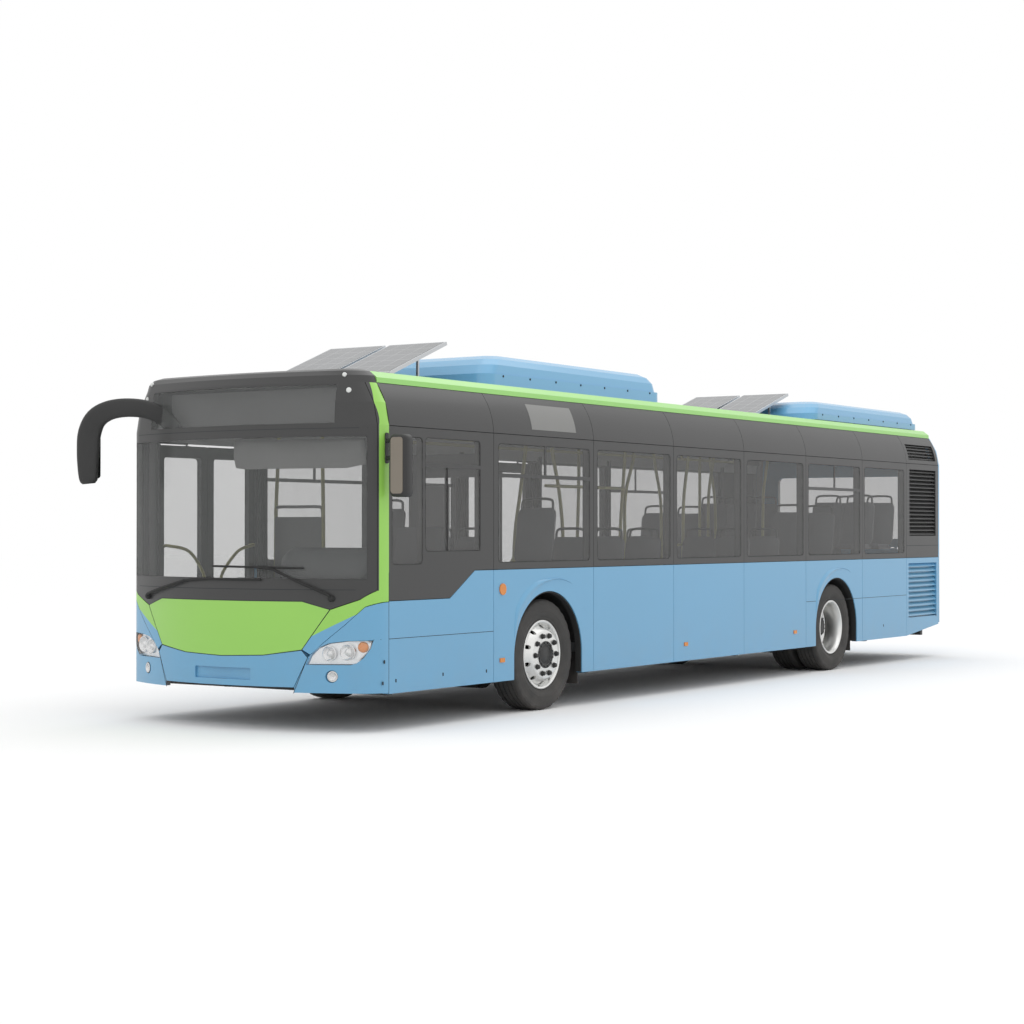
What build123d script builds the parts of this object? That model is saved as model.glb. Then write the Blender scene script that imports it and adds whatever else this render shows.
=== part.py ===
from build123d import *
from math import atan2, cos, degrees, radians, sin, sqrt
import os

os.makedirs("parts", exist_ok=True)

# Rigid two-axle city bus with a low floor.
# +X points forwards, +Y to the bus's left, +Z up; the ground is Z = 0 and X = 0 is half way
# between the rear panel and the foremost mirror. All lengths are millimetres.

bus_length = 12000
bus_width = 2550
front_x = 5900
rear_x = front_x - bus_length
half_width = bus_width / 2
wall = 60
seam_gap = 5
glass_thickness = 8
glass_play = 1.5

skirt_z = 295
belt_z = 1228
cab_belt_z = 1010
band_top_z = 2360
cove_top_z = 2690
cove_half_width = 1155
cove_bend = (1240, 2535)
rail_top_z = 2785
roof_half_width = 1060
roof_crown_z = 2822
floor_z = 365
floor_thickness = 20
axle_floor_z = 560
rear_floor_z = 950

front_axle_back = 2790
rear_axle_back = 8800
tyre_radius = 478.5
tyre_width = 276
rim_radius = 298
tyre_centre_y = 1092
twin_pitch = 311
kingpin_y = 900
arch_radius = 550


def station(back):
    """X of a place measured back from the front of the bus."""
    return front_x - back


front_axle_x = station(front_axle_back)
rear_axle_x = station(rear_axle_back)
axle_z = tyre_radius

# Seams between the side panels, measured back from the front
seams = (480, 1930, 3540, 5030, 6520, 8000, 9510, 10820, 11840)
nose_back = seams[0]
tail_back = seams[-1]

# Side windows: back from the front to each edge, sill and top
windows_left = (
    # front edge, rear edge, sill, top
    (520, 925, 1285, 2280),
    (960, 1735, 1385, 2283),
    (2000, 3475, 1285, 2275),
    (3605, 4965, 1285, 2275),
    (5095, 6455, 1285, 2275),
    (6585, 7935, 1285, 2275),
    (8065, 9445, 1285, 2275),
    (9575, 10750, 1285, 2275),
)
windows_right = (
    # front edge, rear edge, sill, top
    (2000, 3475, 1285, 2275),
    (3605, 4965, 1285, 2275),
    (6585, 7935, 1285, 2275),
    (8065, 9445, 1285, 2275),
    (9575, 10750, 1285, 2275),
)

# Double doors on the right side: front and rear jamb, measured back from the front
doors = {"front": (590, 1858), "middle": (5141, 6409)}
sill_top_z = 362
door_head_z = 2290
leaf_bottom_z = 393
leaf_top_z = 2272
leaf_thickness = 40
jamb_gap = 14
meeting_gap = 10
pivot_inset = 62
column_offset = 38
column_radius = 16

# Louvred grilles on each side: front edge, rear edge, sill, top, number of slats
louvres_lower = (10885, 11780, 510, 1160, 11)
louvres_upper = (10915, 11755, 1490, 2287, 17)
louvres_cove = (10900, 11760, 2405, 2590, 5)


nose_stages = (
    # height, half width, lean back of the middle, corner radius
    (skirt_z + 10, half_width, 0, 210),
    (1100, half_width, 0, 210),
    (band_top_z, half_width, 85, 210),
    (cove_bend[1], cove_bend[0], 96, 210),
    (cove_top_z, cove_half_width, 115, 210),
    (2745, 1138, 140, 200),
    (2782, 1092, 185, 180),
    (2800, 1020, 260, 140),
)
corner_back = 473


def nose_outline(half, lean, corner, inset, back):
    """Plan outline of the nose at one height: a shallow front arc that runs into two corner arcs."""
    depth = corner_back - lean
    nose_radius = (depth**2 + half**2 - 2 * half * corner) / (2 * (depth - corner))
    centre_x = front_x - lean - nose_radius
    corner_x = front_x - corner_back
    corner_y = half - corner
    tilt = atan2(corner_y, corner_x - centre_x)
    radius = corner - inset
    middle = (tilt + radians(90)) / 2
    side = corner_y + radius
    join = (corner_x + radius * cos(tilt), corner_y + radius * sin(tilt))
    bend = (corner_x + radius * cos(middle), corner_y + radius * sin(middle))
    with BuildLine() as outline:
        Line((back, -side), (corner_x, -side))
        ThreePointArc((corner_x, -side), (bend[0], -bend[1]), (join[0], -join[1]))
        ThreePointArc((join[0], -join[1]), (front_x - lean - inset, 0), join)
        ThreePointArc(join, bend, (corner_x, side))
        Line((corner_x, side), (back, side))
        Line((back, side), (back, -side))
    return outline.line


def nose_solid(inset, back, top_drop):
    """The whole nose, drawn in by the inset, with its roof lowered by top_drop."""
    with BuildPart() as nose:
        for z, half, lean, corner in nose_stages:
            with BuildSketch(Plane.XY.offset(z - top_drop * (z > cove_top_z))):
                add(nose_outline(half, lean, corner, inset, back))
                make_face()
        loft(ruled=True)
    return nose.part


def side_plane(side):
    """Plane on the outer skin of one side, X along the bus and Y up; side is 1 for the left."""
    return Plane.XZ.offset(-side * half_width)


def mirrored(points):
    """The points and their mirror images, as one closed outline across the centre line."""
    return points + [(-y, z) for y, z in reversed(points) if y]


nose_outer = nose_solid(0, station(nose_back), 0)
nose_inner = nose_solid(50, station(nose_back) - 80, 45)
nose_glass_inner = nose_solid(glass_thickness, station(nose_back) - 80, 20)
with BuildPart() as nose_shell:
    add(nose_outer)
    add(nose_inner, mode=Mode.SUBTRACT)
with BuildPart() as glass_shell:
    add(nose_outer)
    add(nose_glass_inner, mode=Mode.SUBTRACT)

# Front elevation outlines, (Y, Z) from the centre line outwards
hood_edge = [(0, 576), (400, 590), (720, 636), (935, 942), (722, 1003)]
mask_edge = [(722, 1008), (935, 947), (1149, 1024), (1300, 1130), (1300, 2900)]
bumper_edge = [(655, 345), (764, 575), (718, 628), (400, 584), (0, 570)]
swoosh_edge = [(939, 942), (1149, 1019), (1300, 1125), (1300, 1015), (1184, 969), (1045, 831), (914, 716),
               (786, 599), (726, 636)]
corner_edge = [(662, 305), (662, 345), (770, 575), (784, 594), (914, 711), (1045, 826), (1184, 963),
               (1300, 1009), (1300, 305)]
headlamp_edge = [(752, 520), (782, 590), (837, 649), (926, 688), (1053, 705), (1231, 711), (1216, 647),
                 (1175, 577), (1126, 535), (1085, 522)]
pillar_back = 372
screen_half_width = 1195
screen_bottom_z = 1180
screen_top_z = 2272
display_half_width = 950
display_bottom_z = 2375
display_top_z = 2672
display_back = 385
fog_lamp_at = (948, 433)
fog_lamp_radius = 47
nose_plane = Plane.YZ.offset(station(700))
nose_depth = 800

with BuildPart() as front_hood:
    add(nose_shell.part)
    with BuildSketch(nose_plane):
        Polygon(*mirrored(hood_edge), align=None)
    extrude(amount=nose_depth, mode=Mode.INTERSECT)
front_hood.part.label = "front_hood"
export_step(front_hood.part, "parts/front_hood.step")

# Front bumper with the bare recess for a number plate
plate_half_width = 285
plate_bottom_z = 392
plate_height = 92
with BuildPart() as front_bumper:
    add(nose_shell.part)
    with BuildSketch(nose_plane):
        Polygon(*mirrored(bumper_edge), align=None)
    extrude(amount=nose_depth, mode=Mode.INTERSECT)
    with BuildSketch(Plane.YZ.offset(front_x - 35)):
        with Locations((0, plate_bottom_z + plate_height / 2)):
            RectangleRounded(2 * plate_half_width, plate_height, 12)
    extrude(amount=100, mode=Mode.SUBTRACT)
front_bumper.part.label = "front_bumper"
export_step(front_bumper.part, "parts/front_bumper.step")

# Blue corner panels round the headlamps
with BuildPart() as front_corners:
    add(nose_shell.part)
    with BuildSketch(nose_plane):
        Polygon(*corner_edge, align=None)
        Polygon(*[(-y, z) for y, z in corner_edge], align=None)
        Polygon(*headlamp_edge, align=None, mode=Mode.SUBTRACT)
        Polygon(*[(-y, z) for y, z in headlamp_edge], align=None, mode=Mode.SUBTRACT)
        with Locations(fog_lamp_at, (-fog_lamp_at[0], fog_lamp_at[1])):
            Circle(fog_lamp_radius, mode=Mode.SUBTRACT)
    extrude(amount=nose_depth, mode=Mode.INTERSECT)
front_corners.part.label = "front_corners"
export_step(front_corners.part, "parts/front_corners.step")

# Headlamp and fog lamp units, flush in the corner panels
lamp_play = 3
with BuildPart() as headlamps:
    add(nose_shell.part)
    with BuildSketch(nose_plane):
        for side in (1, -1):
            with BuildLine():
                Polyline(*[(side * y, z) for y, z in headlamp_edge], close=True)
            make_face()
        offset(amount=-lamp_play)
        with Locations(fog_lamp_at, (-fog_lamp_at[0], fog_lamp_at[1])):
            Circle(fog_lamp_radius - lamp_play)
    extrude(amount=nose_depth, mode=Mode.INTERSECT)
headlamps.part.label = "headlamps"
export_step(headlamps.part, "parts/headlamps.step")

# Green pillars beside the windscreen, with the swoosh that runs down beside the hood
with BuildPart() as front_pillars:
    with BuildSketch(nose_plane):
        for side in (1, -1):
            Polygon(*[(side * y, z) for y, z in swoosh_edge], align=None)
    extrude(amount=nose_depth)
    for side in (1, -1):
        with BuildSketch(side_plane(side)):
            with Locations((station((nose_back + pillar_back) / 2), (1015 + cove_top_z) / 2)):
                Rectangle(nose_back - pillar_back, cove_top_z - 1015)
        extrude(amount=side * 200)
    add(nose_shell.part, mode=Mode.INTERSECT)
front_pillars.part.label = "front_pillars"
export_step(front_pillars.part, "parts/front_pillars.step")

# Black mask round the windscreen, with the destination box behind its upper part
with BuildPart() as front_mask:
    add(nose_shell.part)
    with BuildSketch(nose_plane):
        Polygon(*mirrored(mask_edge), align=None)
        with Locations((0, (screen_bottom_z + screen_top_z) / 2)):
            Rectangle(2 * screen_half_width, screen_top_z - screen_bottom_z, mode=Mode.SUBTRACT)
        with Locations((0, (display_bottom_z + display_top_z) / 2)):
            Rectangle(2 * display_half_width, display_top_z - display_bottom_z, mode=Mode.SUBTRACT)
    extrude(amount=nose_depth, mode=Mode.INTERSECT)
    for side in (1, -1):
        with BuildSketch(side_plane(side)):
            with Locations((station((nose_back + pillar_back) / 2), (900 + cove_top_z) / 2)):
                Rectangle(nose_back - pillar_back + 2 * seam_gap, cove_top_z - 900)
        extrude(amount=side * 210, mode=Mode.SUBTRACT)
    with BuildSketch(Plane.YZ.offset(station(display_back + 80))):
        with Locations((0, (display_bottom_z + display_top_z) / 2)):
            Rectangle(2 * display_half_width + 40, display_top_z - display_bottom_z + 30)
    extrude(amount=80)
front_mask.part.label = "front_mask"
export_step(front_mask.part, "parts/front_mask.step")

with BuildPart() as windscreen:
    add(glass_shell.part)
    with BuildSketch(nose_plane):
        with Locations((0, (screen_bottom_z + screen_top_z) / 2)):
            Rectangle(2 * (screen_half_width - glass_play),
                      screen_top_z - screen_bottom_z - 2 * glass_play)
        with Locations((0, (display_bottom_z + display_top_z) / 2)):
            Rectangle(2 * (display_half_width - glass_play),
                      display_top_z - display_bottom_z - 2 * glass_play)
    extrude(amount=nose_depth, mode=Mode.INTERSECT)
windscreen.part.label = "windscreen"
export_step(windscreen.part, "parts/windscreen.step")

louvre_blade = 6


def cove_outline(side):
    """Section of the cove between the window band and the roof rail: it bends inwards as it rises."""
    with BuildLine() as outline:
        ThreePointArc((side * half_width, band_top_z), (side * cove_bend[0], cove_bend[1]),
                      (side * cove_half_width, cove_top_z))
        Line((side * cove_half_width, cove_top_z), (side * (cove_half_width - wall), cove_top_z))
        ThreePointArc((side * (cove_half_width - wall), cove_top_z),
                      (side * (cove_bend[0] - wall), cove_bend[1]), (side * (half_width - wall), band_top_z))
        Line((side * (half_width - wall), band_top_z), (side * half_width, band_top_z))
    return outline.line


def blade_outlines(side, bottom, top, slats):
    """Sections of a grille's blades, which slope down and outwards."""
    pitch = (top - bottom) / slats
    outer_y = side * (half_width - 8)
    inner_y = side * (half_width - 40)
    for slat in range(slats):
        z = bottom + pitch * (slat + 0.28)
        Polygon((outer_y, z), (outer_y, z + louvre_blade), (inner_y, z + 0.62 * pitch + louvre_blade),
                (inner_y, z + 0.62 * pitch), align=None)


# Lower side panels, split at the seams, with wheel arches and the sill under each door
lower_outline = [(nose_back, skirt_z), (seams[7], skirt_z), (tail_back, 400),
                 (tail_back, belt_z - seam_gap), (1655, belt_z - seam_gap),
                 (1300, cab_belt_z - seam_gap), (nose_back, cab_belt_z - seam_gap)]
for side, name in ((1, "left_lower_panels"), (-1, "right_lower_panels")):
    with BuildPart() as lower_panels:
        with BuildSketch(side_plane(side)):
            Polygon(*[(station(back), z) for back, z in lower_outline], align=None)
            with Locations((front_axle_x, axle_z), (rear_axle_x, axle_z)):
                Circle(arch_radius, mode=Mode.SUBTRACT)
            with Locations((front_axle_x, axle_z / 2), (rear_axle_x, axle_z / 2)):
                Rectangle(2 * arch_radius, axle_z, mode=Mode.SUBTRACT)
            with Locations(*[(station(back), 900) for back in seams[1:-1]]):
                Rectangle(seam_gap, 1400, mode=Mode.SUBTRACT)
            if side < 0:
                for front, rear in doors.values():
                    with Locations((station((front + rear) / 2), sill_top_z + 600)):
                        Rectangle(rear - front, 1200, mode=Mode.SUBTRACT)
                    with Locations((station(front), sill_top_z), (station(rear), sill_top_z)):
                        Rectangle(seam_gap, 300, mode=Mode.SUBTRACT)
            grille_front, grille_rear, grille_bottom, grille_top, slats = louvres_lower
            with Locations((station((grille_front + grille_rear) / 2), (grille_bottom + grille_top) / 2)):
                Rectangle(grille_rear - grille_front, grille_top - grille_bottom, mode=Mode.SUBTRACT)
        extrude(amount=side * wall)
        with BuildSketch(Plane.YZ.offset(station(grille_rear + 2))):
            blade_outlines(side, grille_bottom, grille_top, slats)
        extrude(amount=grille_rear - grille_front + 4)
    lower_panels.part.label = name
    export_step(lower_panels.part, f"parts/{name}.step")

# Black window bands from the belt up to the roof rail, with the coves that lean inwards above
band_outline = [(nose_back, cab_belt_z), (1300, cab_belt_z), (1655, belt_z), (tail_back, belt_z),
                (tail_back, band_top_z - seam_gap), (nose_back, band_top_z - seam_gap)]
window_corner = 40
for side, name, windows in ((1, "left_window_band", windows_left), (-1, "right_window_band", windows_right)):
    with BuildPart() as window_band:
        with BuildSketch(side_plane(side)):
            Polygon(*[(station(back), z) for back, z in band_outline], align=None)
            with Locations(*[(station(back), 1700) for back in seams[1:-1]]):
                Rectangle(seam_gap, 1500, mode=Mode.SUBTRACT)
            for front, rear, bottom, top in windows:
                with Locations((station((front + rear) / 2), (bottom + top) / 2)):
                    RectangleRounded(rear - front, top - bottom, window_corner, mode=Mode.SUBTRACT)
            if side < 0:
                for front, rear in doors.values():
                    with Locations((station((front + rear) / 2), door_head_z - 700)):
                        Rectangle(rear - front, 1400, mode=Mode.SUBTRACT)
                    with Locations((station(front), door_head_z), (station(rear), door_head_z)):
                        Rectangle(seam_gap, 300, mode=Mode.SUBTRACT)
            grille_front, grille_rear, grille_bottom, grille_top, slats = louvres_upper
            with Locations((station((grille_front + grille_rear) / 2), (grille_bottom + grille_top) / 2)):
                Rectangle(grille_rear - grille_front, grille_top - grille_bottom, mode=Mode.SUBTRACT)
        extrude(amount=side * wall)
        with BuildSketch(Plane.YZ.offset(station(grille_rear + 2))):
            blade_outlines(side, grille_bottom, grille_top, slats)
        extrude(amount=grille_rear - grille_front + 4)
        for front, rear in zip(seams[:-1], seams[1:]):
            with BuildSketch(Plane.YZ.offset(station(rear) + seam_gap / 2)):
                add(cove_outline(side))
                make_face()
            extrude(amount=rear - front - seam_gap)
        cove_front, cove_rear, cove_bottom, cove_top, slats = louvres_cove
        with BuildSketch(side_plane(side)):
            with Locations((station((cove_front + cove_rear) / 2), (cove_bottom + cove_top) / 2)):
                Rectangle(cove_rear - cove_front, cove_top - cove_bottom)
        extrude(amount=side * 240, mode=Mode.SUBTRACT)
        pitch = (cove_top - cove_bottom) / slats
        with BuildSketch(Plane.YZ.offset(station(cove_rear + 2))):
            for slat in range(slats):
                z = cove_bottom + pitch * (slat + 0.3)
                outer_y = half_width - 20 - 110 * ((z - band_top_z) / (cove_top_z - band_top_z)) ** 2
                Polygon((side * outer_y, z), (side * outer_y, z + louvre_blade),
                        (side * (outer_y - 30), z + 0.6 * pitch + louvre_blade),
                        (side * (outer_y - 30), z + 0.6 * pitch), align=None)
        extrude(amount=cove_rear - cove_front + 4)
    window_band.part.label = name
    export_step(window_band.part, f"parts/{name}.step")

# Rear end: a rounded box corner, drawn in above the window band
tail_stages = (
    # height, half width, rear face, corner radius
    (418, half_width, rear_x, 150),
    (band_top_z, half_width, rear_x, 150),
    (cove_bend[1], cove_bend[0], rear_x + 10, 140),
    (cove_top_z, cove_half_width, rear_x + 30, 120),
    (rail_top_z, roof_half_width, rear_x + 80, 70),
)
least_corner = 20


def tail_solid(inset):
    """The rear cap as a solid, drawn in by the inset."""
    front = station(tail_back) - seam_gap + 2 * inset
    with BuildPart() as tail:
        for z, half, rear, radius in tail_stages:
            corner = max(radius - inset, least_corner)
            side = half - inset
            back = rear + inset
            slant = corner * (1 - sqrt(0.5))
            with BuildSketch(Plane.XY.offset(z)):
                with BuildLine():
                    Line((front, -side), (back + corner, -side))
                    ThreePointArc((back + corner, -side), (back + slant, -side + slant),
                                  (back, -side + corner))
                    Line((back, -side + corner), (back, side - corner))
                    ThreePointArc((back, side - corner), (back + slant, side - slant),
                                  (back + corner, side))
                    Line((back + corner, side), (front, side))
                    Line((front, side), (front, -side))
                make_face()
        loft(ruled=True)
    return tail.part


rear_window_half = 950
rear_window_bottom_z = 1450
rear_window_top_z = 2230
lid_half_width = 930
lid_bottom_z = 520
lid_top_z = 1320
tail_lamp_y = 1115
tail_lamps_at = (820, 960, 1100)
tail_lamp_radius = 60
lid_axis_z = 1327
hinge_radius = 6
hinge_x = rear_x + hinge_radius
lid_hinges_y = (-600, 0, 600)
with BuildPart() as rear_wall:
    add(tail_solid(0))
    add(tail_solid(wall), mode=Mode.SUBTRACT)
    with BuildSketch(Plane.YZ.offset(rear_x - 10)):
        with Locations((0, (rear_window_bottom_z + rear_window_top_z) / 2)):
            RectangleRounded(2 * rear_window_half, rear_window_top_z - rear_window_bottom_z, 60)
        with Locations((0, (lid_bottom_z + lid_top_z) / 2)):
            Rectangle(2 * lid_half_width + 20, lid_top_z - lid_bottom_z + 44)
        with Locations(*[(side * tail_lamp_y, z) for side in (1, -1) for z in tail_lamps_at]):
            Circle(tail_lamp_radius)
    extrude(amount=120, mode=Mode.SUBTRACT)
    for y in lid_hinges_y:
        for end in (-1, 1):
            with BuildSketch(Plane.XZ.offset(-(y + end * 52) - 19)):
                with Locations((hinge_x, lid_axis_z)):
                    Circle(hinge_radius)
                with Locations((hinge_x, lid_axis_z + 9)):
                    Rectangle(8, 18)
            extrude(amount=38)
rear_wall.part.label = "rear_wall"
export_step(rear_wall.part, "parts/rear_wall.step")

# Engine lid, hinged along its top edge
with BuildPart() as engine_lid:
    with BuildSketch(Plane.YZ.offset(rear_x)):
        with Locations((0, (lid_bottom_z + lid_top_z) / 2)):
            RectangleRounded(2 * lid_half_width, lid_top_z - lid_bottom_z, 30)
        with Locations(*[(0, 620 + 55 * row) for row in range(5)]):
            SlotOverall(1000, 24, mode=Mode.SUBTRACT)
    extrude(amount=40)
    for y in lid_hinges_y:
        with BuildSketch(Plane.XZ.offset(-y - 30)):
            with Locations((hinge_x, lid_axis_z)):
                Circle(hinge_radius)
            with Locations((hinge_x, lid_axis_z - 6)):
                Rectangle(8, 12)
        extrude(amount=60)
engine_lid.part.label = "engine_lid"
export_step(engine_lid.part, "parts/engine_lid.step")

# Signal lamps: round tail lamps, side repeaters, side markers and roof markers
repeater_at = (station(2062), 1061)
repeater_radius = 48
side_markers = (
    # back from the front, height
    (2053, 471),
    (5270, 455),
    (7720, 470),
)
with BuildPart() as signal_lamps:
    with BuildSketch(Plane.YZ.offset(rear_x + 4)):
        with Locations(*[(side * tail_lamp_y, z) for side in (1, -1) for z in tail_lamps_at]):
            Circle(tail_lamp_radius - lamp_play)
    extrude(amount=45)
    for side in (1, -1):
        with BuildSketch(side_plane(side)):
            with Locations(repeater_at):
                Circle(repeater_radius)
            with Locations(*[(station(back), z) for back, z in side_markers]):
                Rectangle(70, 36)
        extrude(amount=-side * 9)
signal_lamps.part.label = "signal_lamps"
export_step(signal_lamps.part, "parts/signal_lamps.step")

# Window glass: one flush pane in each opening and the rear window
with BuildPart() as window_glass:
    for side, windows in ((1, windows_left), (-1, windows_right)):
        with BuildSketch(side_plane(side)):
            for front, rear, bottom, top in windows:
                with Locations((station((front + rear) / 2), (bottom + top) / 2)):
                    RectangleRounded(rear - front - 2 * glass_play, top - bottom - 2 * glass_play,
                                     window_corner - glass_play)
        extrude(amount=side * glass_thickness)
    with BuildSketch(Plane.YZ.offset(rear_x + 2)):
        with Locations((0, (rear_window_bottom_z + rear_window_top_z) / 2)):
            RectangleRounded(2 * (rear_window_half - glass_play),
                             rear_window_top_z - rear_window_bottom_z - 2 * glass_play, 58)
    extrude(amount=glass_thickness)
window_glass.part.label = "window_glass"
export_step(window_glass.part, "parts/window_glass.step")

# Body posts: a tube behind each seam, from the floor to the foot of the cove
post_width = 50
post_depth = 38
with BuildPart() as body_posts:
    for back in seams[1:-1]:
        foot_z = 1262 if back > 10800 else axle_floor_z + 2 if 7780 < back < 9600 else floor_z + 2
        for side in (1, -1):
            with BuildSketch(Plane.XY.offset(foot_z)):
                with Locations((station(back), side * (half_width - wall - 2 - post_depth / 2))):
                    Rectangle(post_width, post_depth)
            extrude(amount=band_top_z - 10 - foot_z)
body_posts.part.label = "body_posts"
export_step(body_posts.part, "parts/body_posts.step")

# Roof: a crowned skin between two green rails, with an escape hatch
rail_profile = [(cove_half_width, cove_top_z + 4), (cove_half_width - 3, 2735), (1085, rail_top_z),
                (1045, rail_top_z), (1045, 2740), (1095, cove_top_z + 4)]
with BuildPart() as roof_rails:
    with BuildSketch(Plane.YZ.offset(station(tail_back))):
        for side in (1, -1):
            Polygon(*[(side * y, z) for y, z in rail_profile], align=None)
    extrude(amount=tail_back - nose_back - seam_gap)
roof_rails.part.label = "roof_rails"
export_step(roof_rails.part, "parts/roof_rails.step")

roof_thickness = 45
roof_edge_y = 1040
with BuildPart() as roof_skin:
    with BuildSketch(Plane.YZ.offset(station(tail_back))):
        with BuildLine():
            ThreePointArc((-roof_edge_y, rail_top_z), (0, roof_crown_z), (roof_edge_y, rail_top_z))
            Line((roof_edge_y, rail_top_z), (roof_edge_y, rail_top_z - roof_thickness))
            ThreePointArc((roof_edge_y, rail_top_z - roof_thickness), (0, roof_crown_z - roof_thickness),
                          (-roof_edge_y, rail_top_z - roof_thickness))
            Line((-roof_edge_y, rail_top_z - roof_thickness), (-roof_edge_y, rail_top_z))
        make_face()
    extrude(amount=tail_back - nose_back - seam_gap)
roof_skin.part.label = "roof_skin"
export_step(roof_skin.part, "parts/roof_skin.step")

hatch_back = 6650
hatch_size = 900
with BuildPart() as roof_hatch:
    with BuildSketch(Plane.XY.offset(roof_crown_z + 1)):
        with Locations((station(hatch_back), 0)):
            RectangleRounded(hatch_size, hatch_size, 90)
    extrude(amount=42, taper=25)
roof_hatch.part.label = "roof_hatch"
export_step(roof_hatch.part, "parts/roof_hatch.step")

# Roof pods: each is a tray with a rounded hood. Sections rise from the roof to the top.
pods = (
    # front end and rear end measured back, half width, height of the tray's rim, top
    (2345, 5430, 930, 2900, 3088),
    (8745, 11838, 1020, 2870, 3024),
)
hood_stages = (
    # share of the height above the rim, inset at the sides and rear, inset at the front
    (0, 22, 40), (0.45, 38, 110), (0.75, 78, 200), (0.93, 140, 300), (1, 220, 400),
)
pod_bottom_z = 2800
pod_corner = 130
with BuildPart() as roof_pods:
    for front, rear, half, rim_z, top_z in pods:
        with BuildSketch(Plane.XY.offset(pod_bottom_z)):
            with Locations((station((front + rear) / 2), 0)):
                RectangleRounded(rear - front, 2 * half, pod_corner)
        extrude(amount=rim_z - pod_bottom_z)
        for share, inset, front_inset in hood_stages:
            with BuildSketch(Plane.XY.offset(rim_z + share * (top_z - rim_z))):
                with Locations((station((front + front_inset + rear - inset) / 2), 0)):
                    RectangleRounded(rear - inset - front - front_inset, 2 * (half - inset), pod_corner)
        loft(ruled=True)
        with BuildSketch(Plane.YZ.offset(station(rear) - 10)):
            with BuildLine():
                ThreePointArc((-roof_edge_y, rail_top_z + 1), (0, roof_crown_z + 1),
                              (roof_edge_y, rail_top_z + 1))
                Polyline((roof_edge_y, rail_top_z + 1), (roof_edge_y, 2600), (-roof_edge_y, 2600),
                         (-roof_edge_y, rail_top_z + 1))
            make_face()
        extrude(amount=rear - front + 20, mode=Mode.SUBTRACT)
roof_pods.part.label = "roof_pods"
export_step(roof_pods.part, "parts/roof_pods.step")

# Solar arrays: pairs of framed panels tilted up towards the rear on thin legs
solar_arrays_at = (
    # low edge back from the front, low edge height, high edge back, high edge height, half width
    (1360, 2858, 2170, 3167, 630),
    (8180, 2858, 9000, 3114, 590),
)
panel_thickness = 30
panel_gap = 45
with BuildPart() as solar_arrays:
    for low_back, low_z, high_back, high_z, array_half in solar_arrays_at:
        run = high_back - low_back
        rise = high_z - low_z
        length = sqrt(run**2 + rise**2)
        slope_x = run / length
        slope_z = rise / length
        drop = (panel_thickness * slope_z, panel_thickness * slope_x)
        outline = [(station(low_back), low_z), (station(high_back), high_z),
                   (station(high_back) - drop[0], high_z - drop[1]),
                   (station(low_back) - drop[0], low_z - drop[1])]
        for middle in (1, -1):
            centre = middle * (array_half + panel_gap / 2) / 2
            width = array_half - panel_gap / 2
            with BuildSketch(Plane.XZ.offset(-centre)):
                Polygon(*outline, align=None)
            extrude(amount=width / 2, both=True)
        leg_back = low_back + 0.66 * run
        leg_top = low_z + 0.66 * rise - panel_thickness / slope_x - 1
        toe_top = low_z - panel_thickness / slope_x - 1
        for y in (-0.82 * array_half, 0.82 * array_half):
            foot_z = roof_crown_z - (roof_crown_z - rail_top_z) * (y / roof_edge_y) ** 2 + 1
            with BuildSketch(Plane.XZ.offset(-y)):
                Polygon((station(leg_back + 20), foot_z), (station(low_back + 10), foot_z),
                        (station(low_back + 10), toe_top + 10 * rise / run),
                        (station(low_back + 30), toe_top + 30 * rise / run),
                        (station(low_back + 30), foot_z + 12), (station(leg_back), foot_z + 12),
                        (station(leg_back), leg_top),
                        (station(leg_back + 20), leg_top + 20 * rise / run), align=None)
            extrude(amount=10, both=True)
solar_arrays.part.label = "solar_arrays"
export_step(solar_arrays.part, "parts/solar_arrays.step")

# Wheels. Each tyre is turned about its own axle from one section.
tyre_half = tyre_width / 2
tread_half = 116
bead_radius = 286.5
bead_half = 96.5


def tyre_outline():
    """Half section of a tyre: local X is the distance from the wheel's centre plane, Y the radius."""
    half_section = [(bead_half, bead_radius), (bead_half + 1.5, 301), (tyre_half, 385),
                    (tread_half + 6, tyre_radius - 8), (tread_half - 12, tyre_radius)]
    with BuildLine() as outline:
        Polyline(*half_section, *[(-y, z) for y, z in reversed(half_section)], close=True)
    return outline.line


def wheel_plane(axle_x, y, side):
    """Plane through an axle with local X pointing outwards along it and local Y up."""
    return Plane(origin=(axle_x, y, axle_z), x_dir=(0, side, 0), z_dir=(side, 0, 0))


wheel_sets = (
    # name, axle, side, tyre centres
    ("front_left", front_axle_x, 1, (tyre_centre_y,)),
    ("front_right", front_axle_x, -1, (tyre_centre_y,)),
    ("rear_left", rear_axle_x, 1, (tyre_centre_y, tyre_centre_y - twin_pitch)),
    ("rear_right", rear_axle_x, -1, (tyre_centre_y, tyre_centre_y - twin_pitch)),
)
for name, axle_x, side, centres in wheel_sets:
    with BuildPart() as tyre:
        for y in centres:
            plane = wheel_plane(axle_x, side * y, side)
            with BuildSketch(plane):
                add(tyre_outline())
                make_face()
            revolve(axis=Axis(plane.origin, plane.x_dir))
    label = f"{name}_tyre" if len(centres) == 1 else f"{name}_tyres"
    tyre.part.label = label
    export_step(tyre.part, f"parts/{label}.step")

# Rims: a rolled barrel with a dished disc, ten hand holes and a hub
stud_circle_radius = 167.5
hand_hole_radius = 24
hand_hole_circle = 215
front_disc_out = 62
rear_disc_out = -tyre_centre_y + (2 * tyre_centre_y - twin_pitch) / 2


def barrel_outline():
    """Half section of a rim barrel with its two flanges."""
    with BuildLine() as outline:
        Polyline((-113, rim_radius), (-113, 278), (-96, 268), (-40, 252), (70, 258), (96, 268), (113, 278),
                 (113, rim_radius), (101, rim_radius), (97, 286), (60, 272), (-40, 266), (-97, 286),
                 (-101, rim_radius), close=True)
    return outline.line


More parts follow.
